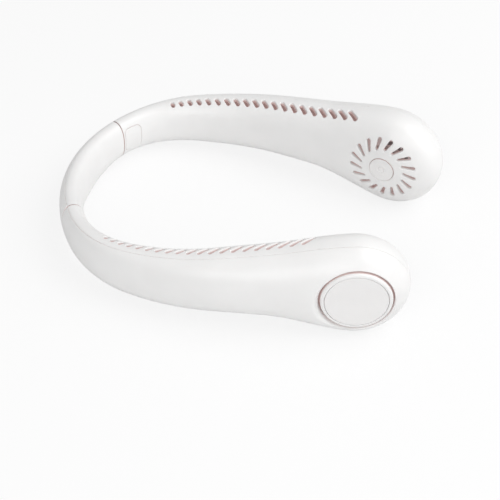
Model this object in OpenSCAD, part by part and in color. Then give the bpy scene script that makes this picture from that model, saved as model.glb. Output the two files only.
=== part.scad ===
// Electric neck fan: a curved band behind the neck, two hinged arms with air
// outlet slots along their top, and a round blower head at the end of each arm.
// Millimetres. +Z is up, the open side of the U faces +X and the wearer's left
// arm lies at +Y. The fan rests on z = 0, centred on x = 0 and y = 0.

/* [Neck line] */
// Radius of the middle of the band, behind the neck
rear_radius = 87; // [80:0.5:95]
// Angle that the rear curve turns on each side
rear_angle = 37.2; // [34:0.1:40]
// Radius of the shoulder curve
shoulder_radius = 66.7; // [62:0.1:72]
// Angle that the shoulder curve turns
shoulder_angle = 41.6; // [38:0.1:45]
// Radius of the curve along the side of the neck
side_radius = 151.4; // [140:0.1:165]
// Angle that the side curve turns
side_angle = 21.4; // [19:0.1:24]
// Radius of the nearly straight front stretch
front_radius = 1030; // [900:10:1500]
// Length of the front stretch, up to the tip
front_length = 112.1; // [104:0.1:120]

/* [Body] */
// Height of the band at the middle of the back
rear_height = 31.7; // [28:0.1:35]
// Height of the blower heads
head_height = 63.8; // [60:0.1:70]
// How high the underside of the arms arches above the table
arch_height = 9.3; // [7:0.1:12]
// Thickness of the band at the middle of the back
rear_thickness = 15.4; // [14:0.1:18]
// From the neck line to the neck side of a head
head_inward = 18.6; // [18:0.1:20]
// From the neck line to the outer side of a head
head_outward = 22.9; // [22.5:0.1:24]
// Length of the rounded end of a head
tip_length = 34; // [32:0.1:36]
// How much further from the axis of a head its tip lies than its top
tip_margin = 0.66; // [0.6:0.01:2]
// How far that axis lies above the middle of the head
head_rise = 0.7; // [0:0.1:1.5]
// Wall of the moulded shells
wall = 1.8; // [1.4:0.1:2.2]
// How far outward the line between the shells runs at a head
split_outward = 5.2; // [4:0.1:6.5]
// Gap at the line between the shells
split_gap = 0.1; // [0.05:0.01:0.2]
// Depth of the flats that the fan rests on
rest_depth = 0.3; // [0.2:0.05:0.5]

/* [Hinges] */
// Distance along the neck line from the back to a hinge
hinge_station = 45; // [43:0.5:47]
// Gap between band and arm at a hinge
hinge_gap = 0.7; // [0.6:0.05:1]
// Distance of a hinge pin outward from the neck line
pin_outward = 3.2; // [3:0.1:3.4]
// Radius of a hinge pin
pin_radius = 0.8; // [0.7:0.05:0.9]
// Radial running clearance of a hinge pin
pin_clearance = 0.05; // [0.03:0.01:0.08]
// Radius of a hinge knuckle
knuckle_radius = 1.6; // [1.5:0.05:1.7]
// Height of the arm's knuckle
arm_knuckle_height = 6.4; // [5:0.1:7]
// Height of each of the band's two knuckles
band_knuckle_height = 3.6; // [3:0.1:4]
// Axial play between the knuckles
knuckle_play = 0.2; // [0.1:0.05:0.3]
// Length of the web that joins a knuckle to its shell
knuckle_web = 6.5; // [5:0.1:8]
// Outer radius of the curved apron behind the gap
apron_radius = 7.7; // [7.4:0.1:7.9]
// Thickness of the apron
apron_thickness = 1; // [0.8:0.1:1.2]
// Height of the apron
apron_height = 13; // [11:0.5:13.5]
// Turn of the apron into the arm
apron_angle = 20; // [15:1:25]
// Distance from the edge of an arm to its cover plate
cover_margin = 1.9; // [1.5:0.1:2.5]
// Length of the cover plate beside a hinge
cover_length = 12.4; // [11:0.1:14]
// Height of the cover plate
cover_height = 17; // [15:0.1:18]
// How far the cover plate lies above the middle of the hinge
cover_rise = 0.8; // [0:0.1:1.2]
// Corner radius of the cover plate
cover_corner = 3; // [2:0.1:4]
// Thickness of the cover plate
cover_thickness = 1.6; // [1.3:0.05:1.8]
// Gap around the cover plate
cover_gap = 0.15; // [0.1:0.01:0.25]
// Thickness of the strap behind the cover plate
strap_thickness = 1.3; // [1:0.1:1.6]
// Width of the strap
strap_width = 5; // [4.5:0.1:6]

/* [Outlet slots] */
// Slots along each arm
slot_count = 20; // [16:1:20]
// Distance along the neck line to the first slot
slot_first = 86.5; // [85:0.5:90]
// Distance from the last slot forward to the axis of a head
slot_setback = 28.15; // [27:0.05:30]
// Width of a slot
slot_width = 2.6; // [2:0.1:3]
// Slant of the first slot along the arm
slant_first = 1.2; // [0:0.1:2]
// Slant of the last slot along the arm
slant_last = 8.2; // [6:0.1:9]
// How deep the slots reach below the crest of an arm
slot_depth = 5; // [4.5:0.1:6]

/* [Intake grille] */
// Slots in the neck side of each head
grille_count = 17; // [13:1:17]
// Where the grille slots start, as a share of half the height of the head
grille_share = 0.4577; // [0.44:0.001:0.48]
// Length of a grille slot between its round ends, as the same share
grille_length_share = 0.2069; // [0.19:0.001:0.21]
// Width of a grille slot at its inner end
grille_width_in = 1.6; // [1.2:0.1:1.8]
// Width of a grille slot at its outer end
grille_width_out = 2.6; // [2:0.1:3]
// Slant of a grille slot against the radius
grille_slant = 27; // [20:1:30]

/* [Intake cap] */
// Distance from the neck line to the face of the cap
cap_face = 18.8; // [18.4:0.1:19.2]
// Distance from the edge of the cap to the top of the head
cap_margin = 10.7; // [10.5:0.1:12]
// Height of the cap
cap_height = 4.2; // [4:0.1:4.6]
// Radius of the cap's rounded edge
cap_edge = 1.8; // [1.2:0.1:2]
// Thickness of the cap's floor
cap_floor = 1.6; // [1.2:0.1:1.8]
// Width of the cap around the plate
plate_margin = 2.5; // [2.2:0.1:3]
// Thickness of the plate
plate_thickness = 1.7; // [1.4:0.1:1.8]
// Groove around the plate
plate_groove = 0.25; // [0.15:0.05:0.4]
// Air gap around the cap
cap_gap = 0.9; // [0.7:0.1:1.2]
// Radius of the rounded lip around the cap
lip_radius = 6; // [4:0.5:7]
// Radius of the circle of the cap's legs
leg_circle = 6.5; // [6:0.1:7]
// Radius of a leg
leg_radius = 1.8; // [1.5:0.1:2]
// Radius of the peg at the end of a leg
peg_radius = 1; // [0.8:0.1:1.1]

/* [Motor bracket] */
// Distance from the neck line to the seat of the bracket
seat_outward = 12; // [11.8:0.1:12.2]
// Wall of the intake throat
throat_wall = 3.4; // [3:0.1:3.8]
// Thickness of the bracket
bracket_thickness = 2.2; // [2:0.1:2.4]
// Width of a bracket spoke
spoke_width = 4; // [3:0.1:5]
// Radius of the bracket's hub
bracket_hub = 9.6; // [9.2:0.1:10]
// Radius of the bearing tube
tube_radius = 2.6; // [2.4:0.05:2.8]
// Radius of the bearing bush
bush_radius = 2; // [1.8:0.05:2.1]
// Radius of the motor shaft
shaft_radius = 1; // [0.8:0.05:1.1]
// Radial running clearance of the shaft
shaft_clearance = 0.05; // [0.02:0.01:0.08]
// Thickness of the motor's circuit board
motor_board_thickness = 0.8; // [0.6:0.1:1]

/* [Motor and wheel] */
// Teeth on the stator
tooth_count = 6; // [6:1:9]
// Radius of the stator
stator_radius = 8.2; // [8:0.05:8.25]
// Height of the stator
stator_height = 3.5; // [3:0.1:4]
// Width of a stator tooth
tooth_width = 1.4; // [1.2:0.1:1.6]
// Thickness of a winding around its tooth
winding_thickness = 0.9; // [0.7:0.05:1]
// Outer radius of the magnet ring
magnet_radius = 9.7; // [9.6:0.05:9.8]
// Thickness of the magnet ring
magnet_thickness = 1.1; // [0.9:0.05:1.2]
// Wall of the rotor cup
rotor_wall = 0.8; // [0.6:0.05:0.9]
// Gap between the rotor and the motor board
rotor_gap = 0.4; // [0.3:0.05:0.5]
// Distance from the rim of the wheel to the top of the head
wheel_margin = 10.7; // [10.5:0.1:12]
// Where the blades start, as a share of the radius of the wheel
blade_share = 0.73; // [0.7:0.01:0.78]
// Length of the blades on the neck side
blade_inward = 7.6; // [6.5:0.1:7.8]
// Length of the blades on the outer side
blade_outward = 7.8; // [7:0.1:8]
// Thickness of a blade
blade_thickness = 0.8; // [0.6:0.05:1]
// Lean of a blade around the axis
blade_lean = 16; // [10:1:20]
// Blades on each side of the wheel
blade_count = 18; // [14:1:20]
// Thickness of the wheel's disc and rims
disc_thickness = 1; // [0.8:0.1:1.2]

/* [Air guides] */
// Wall of the scroll and the duct floor
guide_wall = 1.2; // [1:0.1:1.4]
// Gap between wheel and scroll at the tongue
scroll_gap = 1.2; // [1:0.1:1.4]
// How much the scroll opens over its turn
scroll_growth = 2.1; // [1.8:0.1:2.2]
// Depth of the scroll towards the neck side
scroll_inward = 9.2; // [8.5:0.1:9.4]
// Height of the duct floor at its rear end
duct_rear_height = 23; // [21:0.1:25]
// How far the floor of the duct lies below the top of the head
duct_drop = 19.8; // [18.8:0.1:22]
// Clearance of the air guides to the shells
guide_clearance = 0.3; // [0.2:0.05:0.4]

/* [Battery and wiring] */
// Radius of a battery cell
cell_radius = 9.1; // [8.8:0.05:9.2]
// Length of a battery cell
cell_length = 65; // [60:0.5:66]
// Height of a cell's axis above the table
cell_height = 20.6; // [20.2:0.1:20.8]
// Distance of a cell's ends outward from the neck line
cell_outward = -0.6; // [-1:0.1:0]
// Distance from the middle of a cell forward to the axis of a head
cell_setback = 81; // [79:0.5:83]
// Thickness of the ribs that hold a cell
rib_thickness = 1.6; // [1.2:0.1:2]
// Clearance of a cell in its ribs
cell_clearance = 0.2; // [0.1:0.05:0.3]
// Radius of the raised contact at a cell's end
contact_radius = 3; // [2.5:0.1:4]
// Height of that contact
contact_height = 1; // [0.6:0.1:1.5]
// Radius of an insulated wire
wire_radius = 0.7; // [0.5:0.05:0.8]
// Gap between neighbouring wires
wire_gap = 0.3; // [0.2:0.05:0.6]
// Height of the wires inside the band
wire_height = 14.4; // [14.2:0.1:14.6]

/* [Boards and button] */
// Radius of the power button, as a share of half the height of the head
button_share = 0.2508; // [0.24:0.0001:0.256]
// Gap around the power button
button_gap = 0.15; // [0.1:0.01:0.2]
// Travel of the power button
button_travel = 0.5; // [0.3:0.05:0.6]
// Width of the button's retaining flange
flange_width = 0.9; // [0.7:0.05:1]
// Thickness of the flange
flange_thickness = 0.8; // [0.6:0.05:1]
// Wall of the collar that guides the button
collar_wall = 1.2; // [1:0.1:1.3]
// Depth of the collar behind the outside of the head
collar_depth = 4.4; // [4:0.1:5]
// Edge of the switch board around its screw holes
board_edge = 0.8; // [0.6:0.05:1]
// Thickness of the circuit boards
board_thickness = 1.2; // [1:0.1:1.6]
// Side of the switch under the button
switch_side = 6; // [5:0.1:6.2]
// Height of the switch body
switch_height = 3; // [2.5:0.1:3.2]
// Radius of the switch plunger
plunger_radius = 1.7; // [1.4:0.1:1.8]
// Height of the plunger
plunger_height = 0.8; // [0.6:0.1:1]
// Radius of the posts that carry the boards
board_post_radius = 1.8; // [1.6:0.05:2]
// Gap along the arm between the charging board and the cell
charge_gap = 14.5; // [12:0.5:16]
// Length of the charging board
charge_length = 26; // [22:0.5:28]
// Height of the charging board
charge_height = 12; // [11:0.1:12.4]
// Height of the middle of the charging board above the table
charge_middle = 14.4; // [14:0.1:14.8]
// Distance of the charging board outward from the neck line
charge_outward = 0.6; // [0.5:0.1:0.8]
// Width of the charging socket
socket_width = 7.6; // [7.4:0.05:7.8]
// Thickness of the charging socket
socket_thickness = 2.7; // [2.5:0.05:2.9]
// Depth of the charging socket
socket_depth = 5.4; // [5:0.1:5.8]
// Wall of the charging socket
socket_wall = 0.3; // [0.25:0.01:0.35]
// Radius of a screw shank
screw_radius = 0.75; // [0.6:0.05:0.8]
// Radius of a screw head
screw_head = 1.5; // [1.3:0.05:1.6]
// Height of a screw head
screw_head_height = 1; // [0.8:0.05:1.1]
// How far a screw bites into its post
screw_bite = 3; // [2:0.1:4]

/* [Hidden] */

$fn = 64;
overrun = 1;
pearl = [0.93, 0.92, 0.91];
shade = [0.86, 0.85, 0.84];
blush = [0.78, 0.68, 0.66];

// Stations along the neck line and what the body measures there, as shares of
// the way from the back to the head. Chosen by hand from the body's outline.
station_shares = [0, 0.19, 0.39, 0.69, 0.89];
top_shares = [0, 0.034, 0.209, 0.645, 1];
low_shares = [0, 0.61, 0.57, 1, -0.031];
inward_shares = [0, -0.035, 0.47, 0.97, 1];
outward_shares = [0, -0.033, 0.14, 0.72, 1];
split_shares = [0.65, 0.65, 0.5, 0.58, 1];
// Exponents of the rounded section and of the rounded tip, seen from above
section_power = 2.3;
tip_power = 2.2;
// Steps of the moulded surfaces
ring_steps = 12;
shell_step = 6.4;
tip_steps = 10;
tip_reach_share = 0.998;
// How far out the line between the shells may lie where the tip narrows
tip_split_share = 0.9;

// Where the slots lie across the top of an arm, as shares of its half thickness
slot_top_share = 0.13;
slot_low_share = 0.5;
// How fast the slant of the slots grows along the arm, and the gaps between them
slant_power = 0.75;
gap_power = 1.05;

line_radii = [rear_radius, shoulder_radius, side_radius, front_radius];
line_angles = [rear_angle, shoulder_angle, side_angle, front_length / front_radius * 180 / PI];
line_lengths = [for (i = [0:3]) line_radii[i] * line_angles[i] * PI / 180];
line_length = line_lengths[0] + line_lengths[1] + line_lengths[2] + line_lengths[3];
tip_start = line_length - tip_length;
head_station = line_length - head_height / 2 - tip_margin;
slot_run = head_station - slot_setback - slot_first;
slot_pitch = slot_run / (slot_count - 1);
cell_station = head_station - cell_setback;
charge_station = cell_station - cell_length / 2 - charge_gap - charge_length / 2;
wheel_radius = head_height / 2 - wheel_margin;
blade_start = blade_share * wheel_radius;
cap_radius = head_height / 2 - cap_margin;
plate_radius = cap_radius - plate_margin;
scroll_start = wheel_radius + scroll_gap;
duct_head_height = head_height - duct_drop;
grille_radius = grille_share * head_height / 2;
grille_length = grille_length_share * head_height / 2;
button_radius = button_share * head_height / 2;
band_end = hinge_station - hinge_gap / 2;
arm_start = hinge_station + hinge_gap / 2;

// A point of the neck line at a distance from the back, with its heading
function walk(s, i, p, h) = let(
    turn = min(s / line_radii[i] * 180 / PI, line_angles[i]),
    q = p + line_radii[i] * [sin(h) - sin(h - turn), cos(h - turn) - cos(h)])
    s <= line_lengths[i] || i == 3 ? [q.x, q.y, h - turn] : walk(s - line_lengths[i], i + 1, q, h - turn);
function bare_line(s) = walk(s, 0, [0, 0], 90);

// Smooth curve through values at the stations, level at both ends
function step(i) = station_shares[i + 1] - station_shares[i];
function rise(v, i) = (v[i + 1] - v[i]) / step(i);
function slope(v, i) = i == 0 || i == len(v) - 1 || rise(v, i - 1) * rise(v, i) <= 0 ? 0 :
    let(w = [2 * step(i) + step(i - 1), step(i) + 2 * step(i - 1)])
    (w[0] + w[1]) / (w[0] / rise(v, i - 1) + w[1] / rise(v, i));
function along(v, s) = let(
    share = min(s / line_length, station_shares[4]),
    i = share < station_shares[1] ? 0 : share < station_shares[2] ? 1 : share < station_shares[3] ? 2 : 3,
    f = (share - station_shares[i]) / step(i))
    v[i] * (1 + 2 * f) * pow(1 - f, 2) + v[i + 1] * f * f * (3 - 2 * f)
    + step(i) * f * (1 - f) * (slope(v, i) * (1 - f) - slope(v, i + 1) * f);

function top_at(s) = rear_height + (head_height - rear_height) * along(top_shares, s);
function low_at(s) = arch_height * along(low_shares, s);
function inward_at(s) = rear_thickness / 2 + (head_inward - rear_thickness / 2) * along(inward_shares, s);
function outward_at(s) = rear_thickness / 2 + (head_outward - rear_thickness / 2) * along(outward_shares, s);
function split_at(s) = split_outward * along(split_shares, s);

// Section of the body, inset from its outside: station, middle height, half
// height, inward and outward half thickness
function section(s, inset) = let(
    d = abs(s),
    u = min(max((d - tip_start) / tip_length, 0), 1),
    wide = pow(1 - pow(u, tip_power), 1 / tip_power))
    [s - inset * u * sign(s), (top_at(d) + low_at(d)) / 2 - rest_depth,
     ((top_at(d) - low_at(d)) / 2 - inset) * sqrt(1 - u * u),
     (inward_at(d) - inset) * wide, (outward_at(d) - inset) * wide];
function curve(c) = sign(c) * pow(abs(c), 2 / section_power);
function reach(sec, c) = (c > 0 ? sec[4] : sec[3]) * curve(c);
function reach_at(sec, z, side) = (side > 0 ? sec[4] : -sec[3])
    * pow(1 - pow(min(abs(z - sec[1]) / sec[2], 1), section_power), 1 / section_power);

// Rows of stations
steps_to_tip = ceil((tip_start - arm_start) / shell_step);
arm_stations = concat(
    [for (i = [0:steps_to_tip - 1]) arm_start + (tip_start - arm_start) * i / steps_to_tip],
    [for (i = [0:tip_steps]) tip_start + tip_length * min(sin(90 * i / tip_steps), tip_reach_share)]);
band_steps = 14;
band_stations = [for (i = [0:band_steps]) band_end * (2 * i / band_steps - 1)];

// The front edge of the heads, which centres the fan on x = 0
function bare_front(s) = let(p = bare_line(s), sec = section(s, 0)) p.x - sin(p.z) * sec[4];
front_edge = max([for (s = arm_stations) bare_front(s)]);
shift = -(front_edge - rear_thickness / 2) / 2;

function line_at(s) = let(p = bare_line(abs(s)))
    [p.x + shift, p.y * (s < 0 ? -1 : 1), s < 0 ? 180 - p.z : p.z];
function place(s, n, z) = let(p = line_at(s)) [p.x - sin(p.z) * n, p.y + cos(p.z) * n, z];
function skin(sec, a) = place(sec[0], reach(sec, cos(a)), sec[1] + sec[2] * curve(sin(a)));
function split_angle(sec, n, gap) = acos(pow(min(n / sec[4], tip_split_share) + gap / sec[4], section_power / 2));

// Places a child at a station: X forward along the neck line, Y outward, Z up
module at_line(s, n, z) {
    p = line_at(s);
    translate(place(s, n, z))
        rotate([0, 0, p[2]])
            children();
}

// Places a child at a head: X back along the arm, Y up, Z outward
head_middle = head_height / 2 - rest_depth + head_rise;
module at_head(w) {
    p = line_at(head_station);
    translate(place(head_station, w, head_middle))
        rotate([90, 0, p[2] + 180])
            children();
}

// The left arm as drawn, or mirrored to the right
module on(side) {
    mirror([0, side == "right" ? 1 : 0, 0])
        children();
}

function quad(a, b, c, d) = [[a, b, c], [a, c, d]];
function flat_list(lists) = [for (l = lists, e = l) e];

// One half of a hollow body, split lengthwise and open along its middle.
// Half "outer" faces away from the neck and half "inner" faces it.
module half_shell(stations, half, closed) {
    m = ring_steps;
    last = len(stations) - 1;
    points = [for (inset = [0, wall], s = stations) let(
        sec = section(s, inset),
        a = split_angle(sec, split_at(abs(s)), (half == "outer" ? 1 : -1) * split_gap / 2))
        for (j = [0:m]) skin(sec, half == "outer" ? a * (2 * j / m - 1) : a + (360 - 2 * a) * j / m)];
    function out(k, j) = k * (m + 1) + j;
    function in(k, j) = (last + 1 + k) * (m + 1) + j;
    sides = [for (k = [0:last - 1], j = [0:m - 1]) concat(
        quad(out(k, j), out(k + 1, j), out(k + 1, j + 1), out(k, j + 1)),
        quad(in(k, j), in(k, j + 1), in(k + 1, j + 1), in(k + 1, j)))];
    edges = [for (k = [0:last - 1]) concat(
        quad(out(k + 1, 0), out(k, 0), in(k, 0), in(k + 1, 0)),
        quad(out(k, m), out(k + 1, m), in(k + 1, m), in(k, m)))];
    start = [for (j = [0:m - 1]) quad(out(0, j), out(0, j + 1), in(0, j + 1), in(0, j))];
    open_end = [for (j = [0:m - 1]) quad(out(last, j + 1), out(last, j), in(last, j), in(last, j + 1))];
    fans = [for (j = [1:m - 1]) [[out(last, 0), out(last, j + 1), out(last, j)],
        [in(last, 0), in(last, j), in(last, j + 1)]]];
    tip = concat(fans, [quad(out(last, m), out(last, 0), in(last, 0), in(last, m))]);
    polyhedron(points, flat_list(concat(sides, edges, start, closed ? tip : open_end)));
}

// A solid stretch of the body between two section angles
module body_slice(stations, inset, from, to, m) {
    last = len(stations) - 1;
    points = [for (s = stations, j = [0:m]) skin(section(s, inset), from + (to - from) * j / m)];
    function at(k, j) = k * (m + 1) + j;
    sides = [for (k = [0:last - 1], j = [0:m - 1])
        quad(at(k, j), at(k + 1, j), at(k + 1, j + 1), at(k, j + 1))];
    back = [for (k = [0:last - 1]) quad(at(k, m), at(k + 1, m), at(k + 1, 0), at(k, 0))];
    ends = [for (j = [1:m - 1]) [[at(0, 0), at(0, j), at(0, j + 1)],
        [at(last, 0), at(last, j + 1), at(last, j)]]];
    polyhedron(points, flat_list(concat(sides, back, ends)));
}

// Everything below the table, so that the shells rest on flats
module below_table() {
    size = 4 * line_length;
    translate([-size / 2, -size / 2, -overrun])
        cube([size, size, overrun]);
}

seam_middle = (top_at(hinge_station) + low_at(hinge_station)) / 2 - rest_depth;
knuckle_rise = arm_knuckle_height / 2 + knuckle_play;
pin_half = knuckle_rise + band_knuckle_height;
web_outward = knuckle_radius + wall / 2;

// A knuckle from low to high on the pin's axis. Its web runs forward into the
// arm, or back into the band.
module knuckle(low, high, into_arm, bore) {
    at_line(hinge_station, pin_outward, seam_middle)
        difference() {
            translate([0, 0, low])
                mirror([into_arm ? 0 : 1, 0, 0]) {
                    cylinder(r = knuckle_radius, h = high - low);
                    translate([0, -knuckle_radius, 0])
                        cube([knuckle_web, 2 * knuckle_radius, high - low]);
                    translate([hinge_gap, 0, 0])
                        cube([knuckle_web - hinge_gap, web_outward, high - low]);
                }
            translate([0, 0, low - overrun])
                cylinder(r = bore, h = high - low + 2 * overrun);
        }
}

// Curved apron that closes the view into the hinge as the arm swings out
apron_foot = 2.5;
module apron() {
    foot_outward = inward_at(hinge_station) - wall / 2 + pin_outward;
    at_line(hinge_station, pin_outward, seam_middle)
        translate([0, 0, -apron_height / 2]) {
            rotate([0, 0, -90 - 2 * apron_angle])
                rotate_extrude(angle = 3 * apron_angle)
                    translate([apron_radius - apron_thickness, 0])
                        square([apron_thickness, apron_height]);
            translate([-apron_foot, -foot_outward, apron_thickness])
                cube([apron_foot - hinge_gap, foot_outward - apron_radius + apron_thickness / 2,
                    apron_height - 2 * apron_thickness]);
        }
}

module band_outer_shell() {
    color(pearl)
        difference() {
            union() {
                half_shell(band_stations, "outer", false);
                for (side = ["left", "right"])
                    on(side) {
                        knuckle(knuckle_rise, pin_half, false, pin_radius);
                        knuckle(-pin_half, -knuckle_rise, false, pin_radius);
                    }
            }
            below_table();
        }
}

module band_inner_shell() {
    color(pearl)
        difference() {
            union() {
                half_shell(band_stations, "inner", false);
                for (side = ["left", "right"])
                    on(side)
                        apron();
            }
            below_table();
        }
}

module hinge_pin(side) {
    color("silver")
        on(side)
            at_line(hinge_station, pin_outward, seam_middle - pin_half)
                cylinder(r = pin_radius, h = 2 * pin_half);
}

// A wire along the neck line, from one station to another
wire_sides = 6;
module wire(from, to, n, low, high, steps) {
    points = [for (i = [0:steps], j = [0:wire_sides - 1]) let(
        f = i / steps,
        a = 360 * j / wire_sides)
        place(from + (to - from) * f, n + wire_radius * cos(a), low + (high - low) * f + wire_radius * sin(a))];
    function at(i, j) = i * wire_sides + j % wire_sides;
    sides = [for (i = [0:steps - 1], j = [0:wire_sides - 1])
        quad(at(i, j), at(i + 1, j), at(i + 1, j + 1), at(i, j + 1))];
    ends = [for (j = [1:wire_sides - 2]) [[at(0, 0), at(0, j), at(0, j + 1)],
        [at(steps, 0), at(steps, j + 1), at(steps, j)]]];
    polyhedron(points, flat_list(concat(sides, ends)));
}

wire_pitch = 2 * wire_radius + wire_gap;
wire_outward = -wire_radius;
module band_wires() {
    reach_out = hinge_station - hinge_gap;
    for (k = [-1:1])
        color(k == 0 ? "black" : k < 0 ? "firebrick" : "white")
            wire(-reach_out, reach_out, wire_outward, wire_height + k * wire_pitch, wire_height + k * wire_pitch, 14);
}

// The hole in a head that the cap sits in, its throat and its rounded lip
hole_radius = cap_radius + cap_gap;
throat_radius = hole_radius + throat_wall;
throat_steps = 12;
throat_stations = [for (i = [0:throat_steps])
    head_station + (throat_radius + overrun) * (2 * i / throat_steps - 1)];
lip_circle = hole_radius + lip_radius;
lip_middle = outward_at(head_station - lip_circle) - lip_radius;
module cap_hole() {
    rotate_extrude()
        difference() {
            translate([0, seat_outward - overrun])
                square([lip_circle, head_outward]);
            translate([hole_radius, seat_outward - 2 * overrun])
                square([2 * lip_radius, lip_middle - seat_outward + 2 * overrun]);
            translate([lip_circle, lip_middle])
                circle(lip_radius);
        }
}

bracket_low = seat_outward - bracket_thickness;
screw_circle = hole_radius + throat_wall / 2;
bracket_screws = 3;
module at_bracket_screws(w) {
    for (k = [1:bracket_screws])
        at_head(w)
            rotate([0, 0, 360 * k / bracket_screws])
                translate([screw_circle, 0, 0])
                    children();
}

// A cell lies straight along the chord of its stretch of the neck line
cell_ends = [for (dir = [-1, 1]) place(cell_station + dir * cell_length / 2, cell_outward, cell_height)];
cell_turn = atan2(cell_ends[1].y - cell_ends[0].y, cell_ends[1].x - cell_ends[0].x);
module at_cell() {
    translate((cell_ends[0] + cell_ends[1]) / 2)
        rotate([0, 0, cell_turn])
            rotate([0, 90, 0])
                children();
}

rib_place_shares = [-0.28, 0.28];
rib_top = cell_height + cell_radius - cell_clearance;
module cell_rib(s) {
    difference() {
        intersection() {
            body_slice([s - rib_thickness / 2, s + rib_thickness / 2], wall / 2, -85, 85, ring_steps);
            at_line(s, split_at(s) + split_gap, 0)
                translate([-rib_thickness, 0, 0])
                    cube([2 * rib_thickness, head_outward, rib_top]);
        }
        at_cell()
            cylinder(r = cell_radius + cell_clearance, h = 2 * cell_length, center = true);
    }
}

// The window for the cover plate, with the strap behind it that takes the screw
window_station = arm_start + cover_margin + cover_length / 2;
window_middle = seam_middle + cover_rise;
strap_overlap = 3;
strap_rise_share = 2.5;
strap_low = -inward_at(window_station) + wall + strap_rise_share * screw_head_height;
strap_high = strap_low + strap_thickness;
post_low = strap_high + cover_gap;
post_radius = 3 * screw_radius;
module at_window(n) {
    at_line(window_station, n, window_middle)
        rotate([-90, 0, 0])
            children();
}
module cover_outline(grow) {
    w = cover_length + 2 * grow;
    h = cover_height + 2 * grow;
    r = cover_corner + grow;
    square([w - 2 * r, h], center = true);
    square([w, h - 2 * r], center = true);
    for (x = [-1, 1], y = [-1, 1])
        translate([x * (w / 2 - r), y * (h / 2 - r)])
            circle(r);
}
module cover_prism(grow) {
    at_window(-rear_thickness)
        linear_extrude(rear_thickness)
            cover_outline(grow);
}
module strap() {
    at_window(strap_low)
        translate([-strap_width / 2, -cover_height / 2 - strap_overlap, 0])
            cube([strap_width, cover_height + 2 * strap_overlap, strap_thickness]);
}

// The charging board's posts and screws, below the wires
charge_posts = 2;
charge_post_share = 0.7;
charge_drop_share = 0.35;
charge_stations = [for (i = [-2:2]) charge_station + charge_length * i / 4];
module at_charge_posts(n) {
    for (k = [0:charge_posts - 1])
        at_line(charge_station, n, charge_middle - charge_drop_share * charge_height)
            translate([charge_post_share * charge_length * (k / (charge_posts - 1) - 1 / 2), 0, 0])
                rotate([-90, 0, 0])
                    children();
}

module outer_shell(side) {
    color(pearl)
        on(side)
            difference() {
                union() {
                    half_shell(arm_stations, "outer", true);
                    intersection() {
                        at_head(seat_outward)
                            cylinder(r = throat_radius, h = head_outward);
                        body_slice(throat_stations, wall / 2, -80, 80, ring_steps);
                    }
                    knuckle(-arm_knuckle_height / 2, arm_knuckle_height / 2, true, pin_radius + pin_clearance);
                    for (share = rib_place_shares)
                        cell_rib(cell_station + share * cell_length);
                    at_window(post_low)
                        cylinder(r = post_radius, h = outward_at(window_station) - wall / 2 - post_low);
                    if (side == "right")
                        intersection() {
                            at_charge_posts(charge_outward + board_thickness)
                                cylinder(r = board_post_radius, h = outward_at(charge_station));
                            body_slice(charge_stations, wall / 2, -80, 80, ring_steps);
                        }
                }
                at_head(0)
                    cap_hole();
                at_bracket_screws(seat_outward - overrun)
                    cylinder(r = screw_radius, h = screw_bite + overrun);
                at_window(post_low - overrun)
                    cylinder(r = screw_radius, h = screw_bite + overrun);
                for (dir = [-1, 1])
                    at_line(hinge_station, pin_outward, seam_middle + dir * (knuckle_rise + band_knuckle_height / 2))
                        cylinder(r = knuckle_radius + guide_clearance,
                            h = band_knuckle_height + 2 * knuckle_play, center = true);
                if (side == "right")
                    at_charge_posts(charge_outward)
                        cylinder(r = screw_radius, h = board_thickness + screw_bite);
                below_table();
            }
}

// A slot with round ends, slanted across the top of an arm
module slot(k) {
    f = k / (slot_count - 1);
    s = slot_first + slot_run * pow(f, gap_power);
    sec = section(s, 0);
    from = -slot_top_share * sec[3];
    to = -slot_low_share * sec[3];
    slant = slant_first + (slant_last - slant_first) * pow(f, slant_power);
    straight = norm([slant, from - to]) - slot_width;
    at_line(s, (from + to) / 2, sec[1] + sec[2] - slot_depth)
        rotate([0, 0, -atan2(from - to, slant)])
            linear_extrude(slot_depth + overrun) {
                square([straight, slot_width], center = true);
                for (x = [-1, 1])
                    translate([x * straight / 2, 0])
                        circle(slot_width / 2);
            }
}

// A grille slot, wider outside and slanted against the radius
module grille_slot(k) {
    at_head(-head_inward - overrun)
        rotate([0, 0, 90 + 360 * k / grille_count])
            translate([grille_radius, 0, 0])
                rotate([0, 0, grille_slant])
                    linear_extrude(head_inward) {
                        polygon([[0, -grille_width_in / 2], [grille_length, -grille_width_out / 2],
                            [grille_length, grille_width_out / 2], [0, grille_width_in / 2]]);
                        circle(grille_width_in / 2);
                        translate([grille_length, 0])
                            circle(grille_width_out / 2);
                    }
}

// The button's collar, and what lies behind it on the head's axis
collar_low = -head_inward + wall / 2;
collar_high = -head_inward + collar_depth;
collar_bore = button_radius + button_gap;
collar_radius = collar_bore + collar_wall;
flange_low = collar_high + button_gap;
flange_high = flange_low + flange_thickness;
flange_radius = button_radius + flange_width;
plunger_low = flange_high + button_travel + button_gap;
switch_low = plunger_low + plunger_height;
board_low = switch_low + switch_height;
board_high = board_low + board_thickness;
board_posts = 3;
board_post_circle = flange_radius + 2 * button_gap + board_post_radius;
button_board_radius = board_post_circle + screw_radius + board_edge;
module at_board_posts(w) {
    for (k = [1:board_posts])
        at_head(w)
            rotate([0, 0, 90 + 360 * k / board_posts])
                translate([board_post_circle, 0, 0])
                    children();
}

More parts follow.
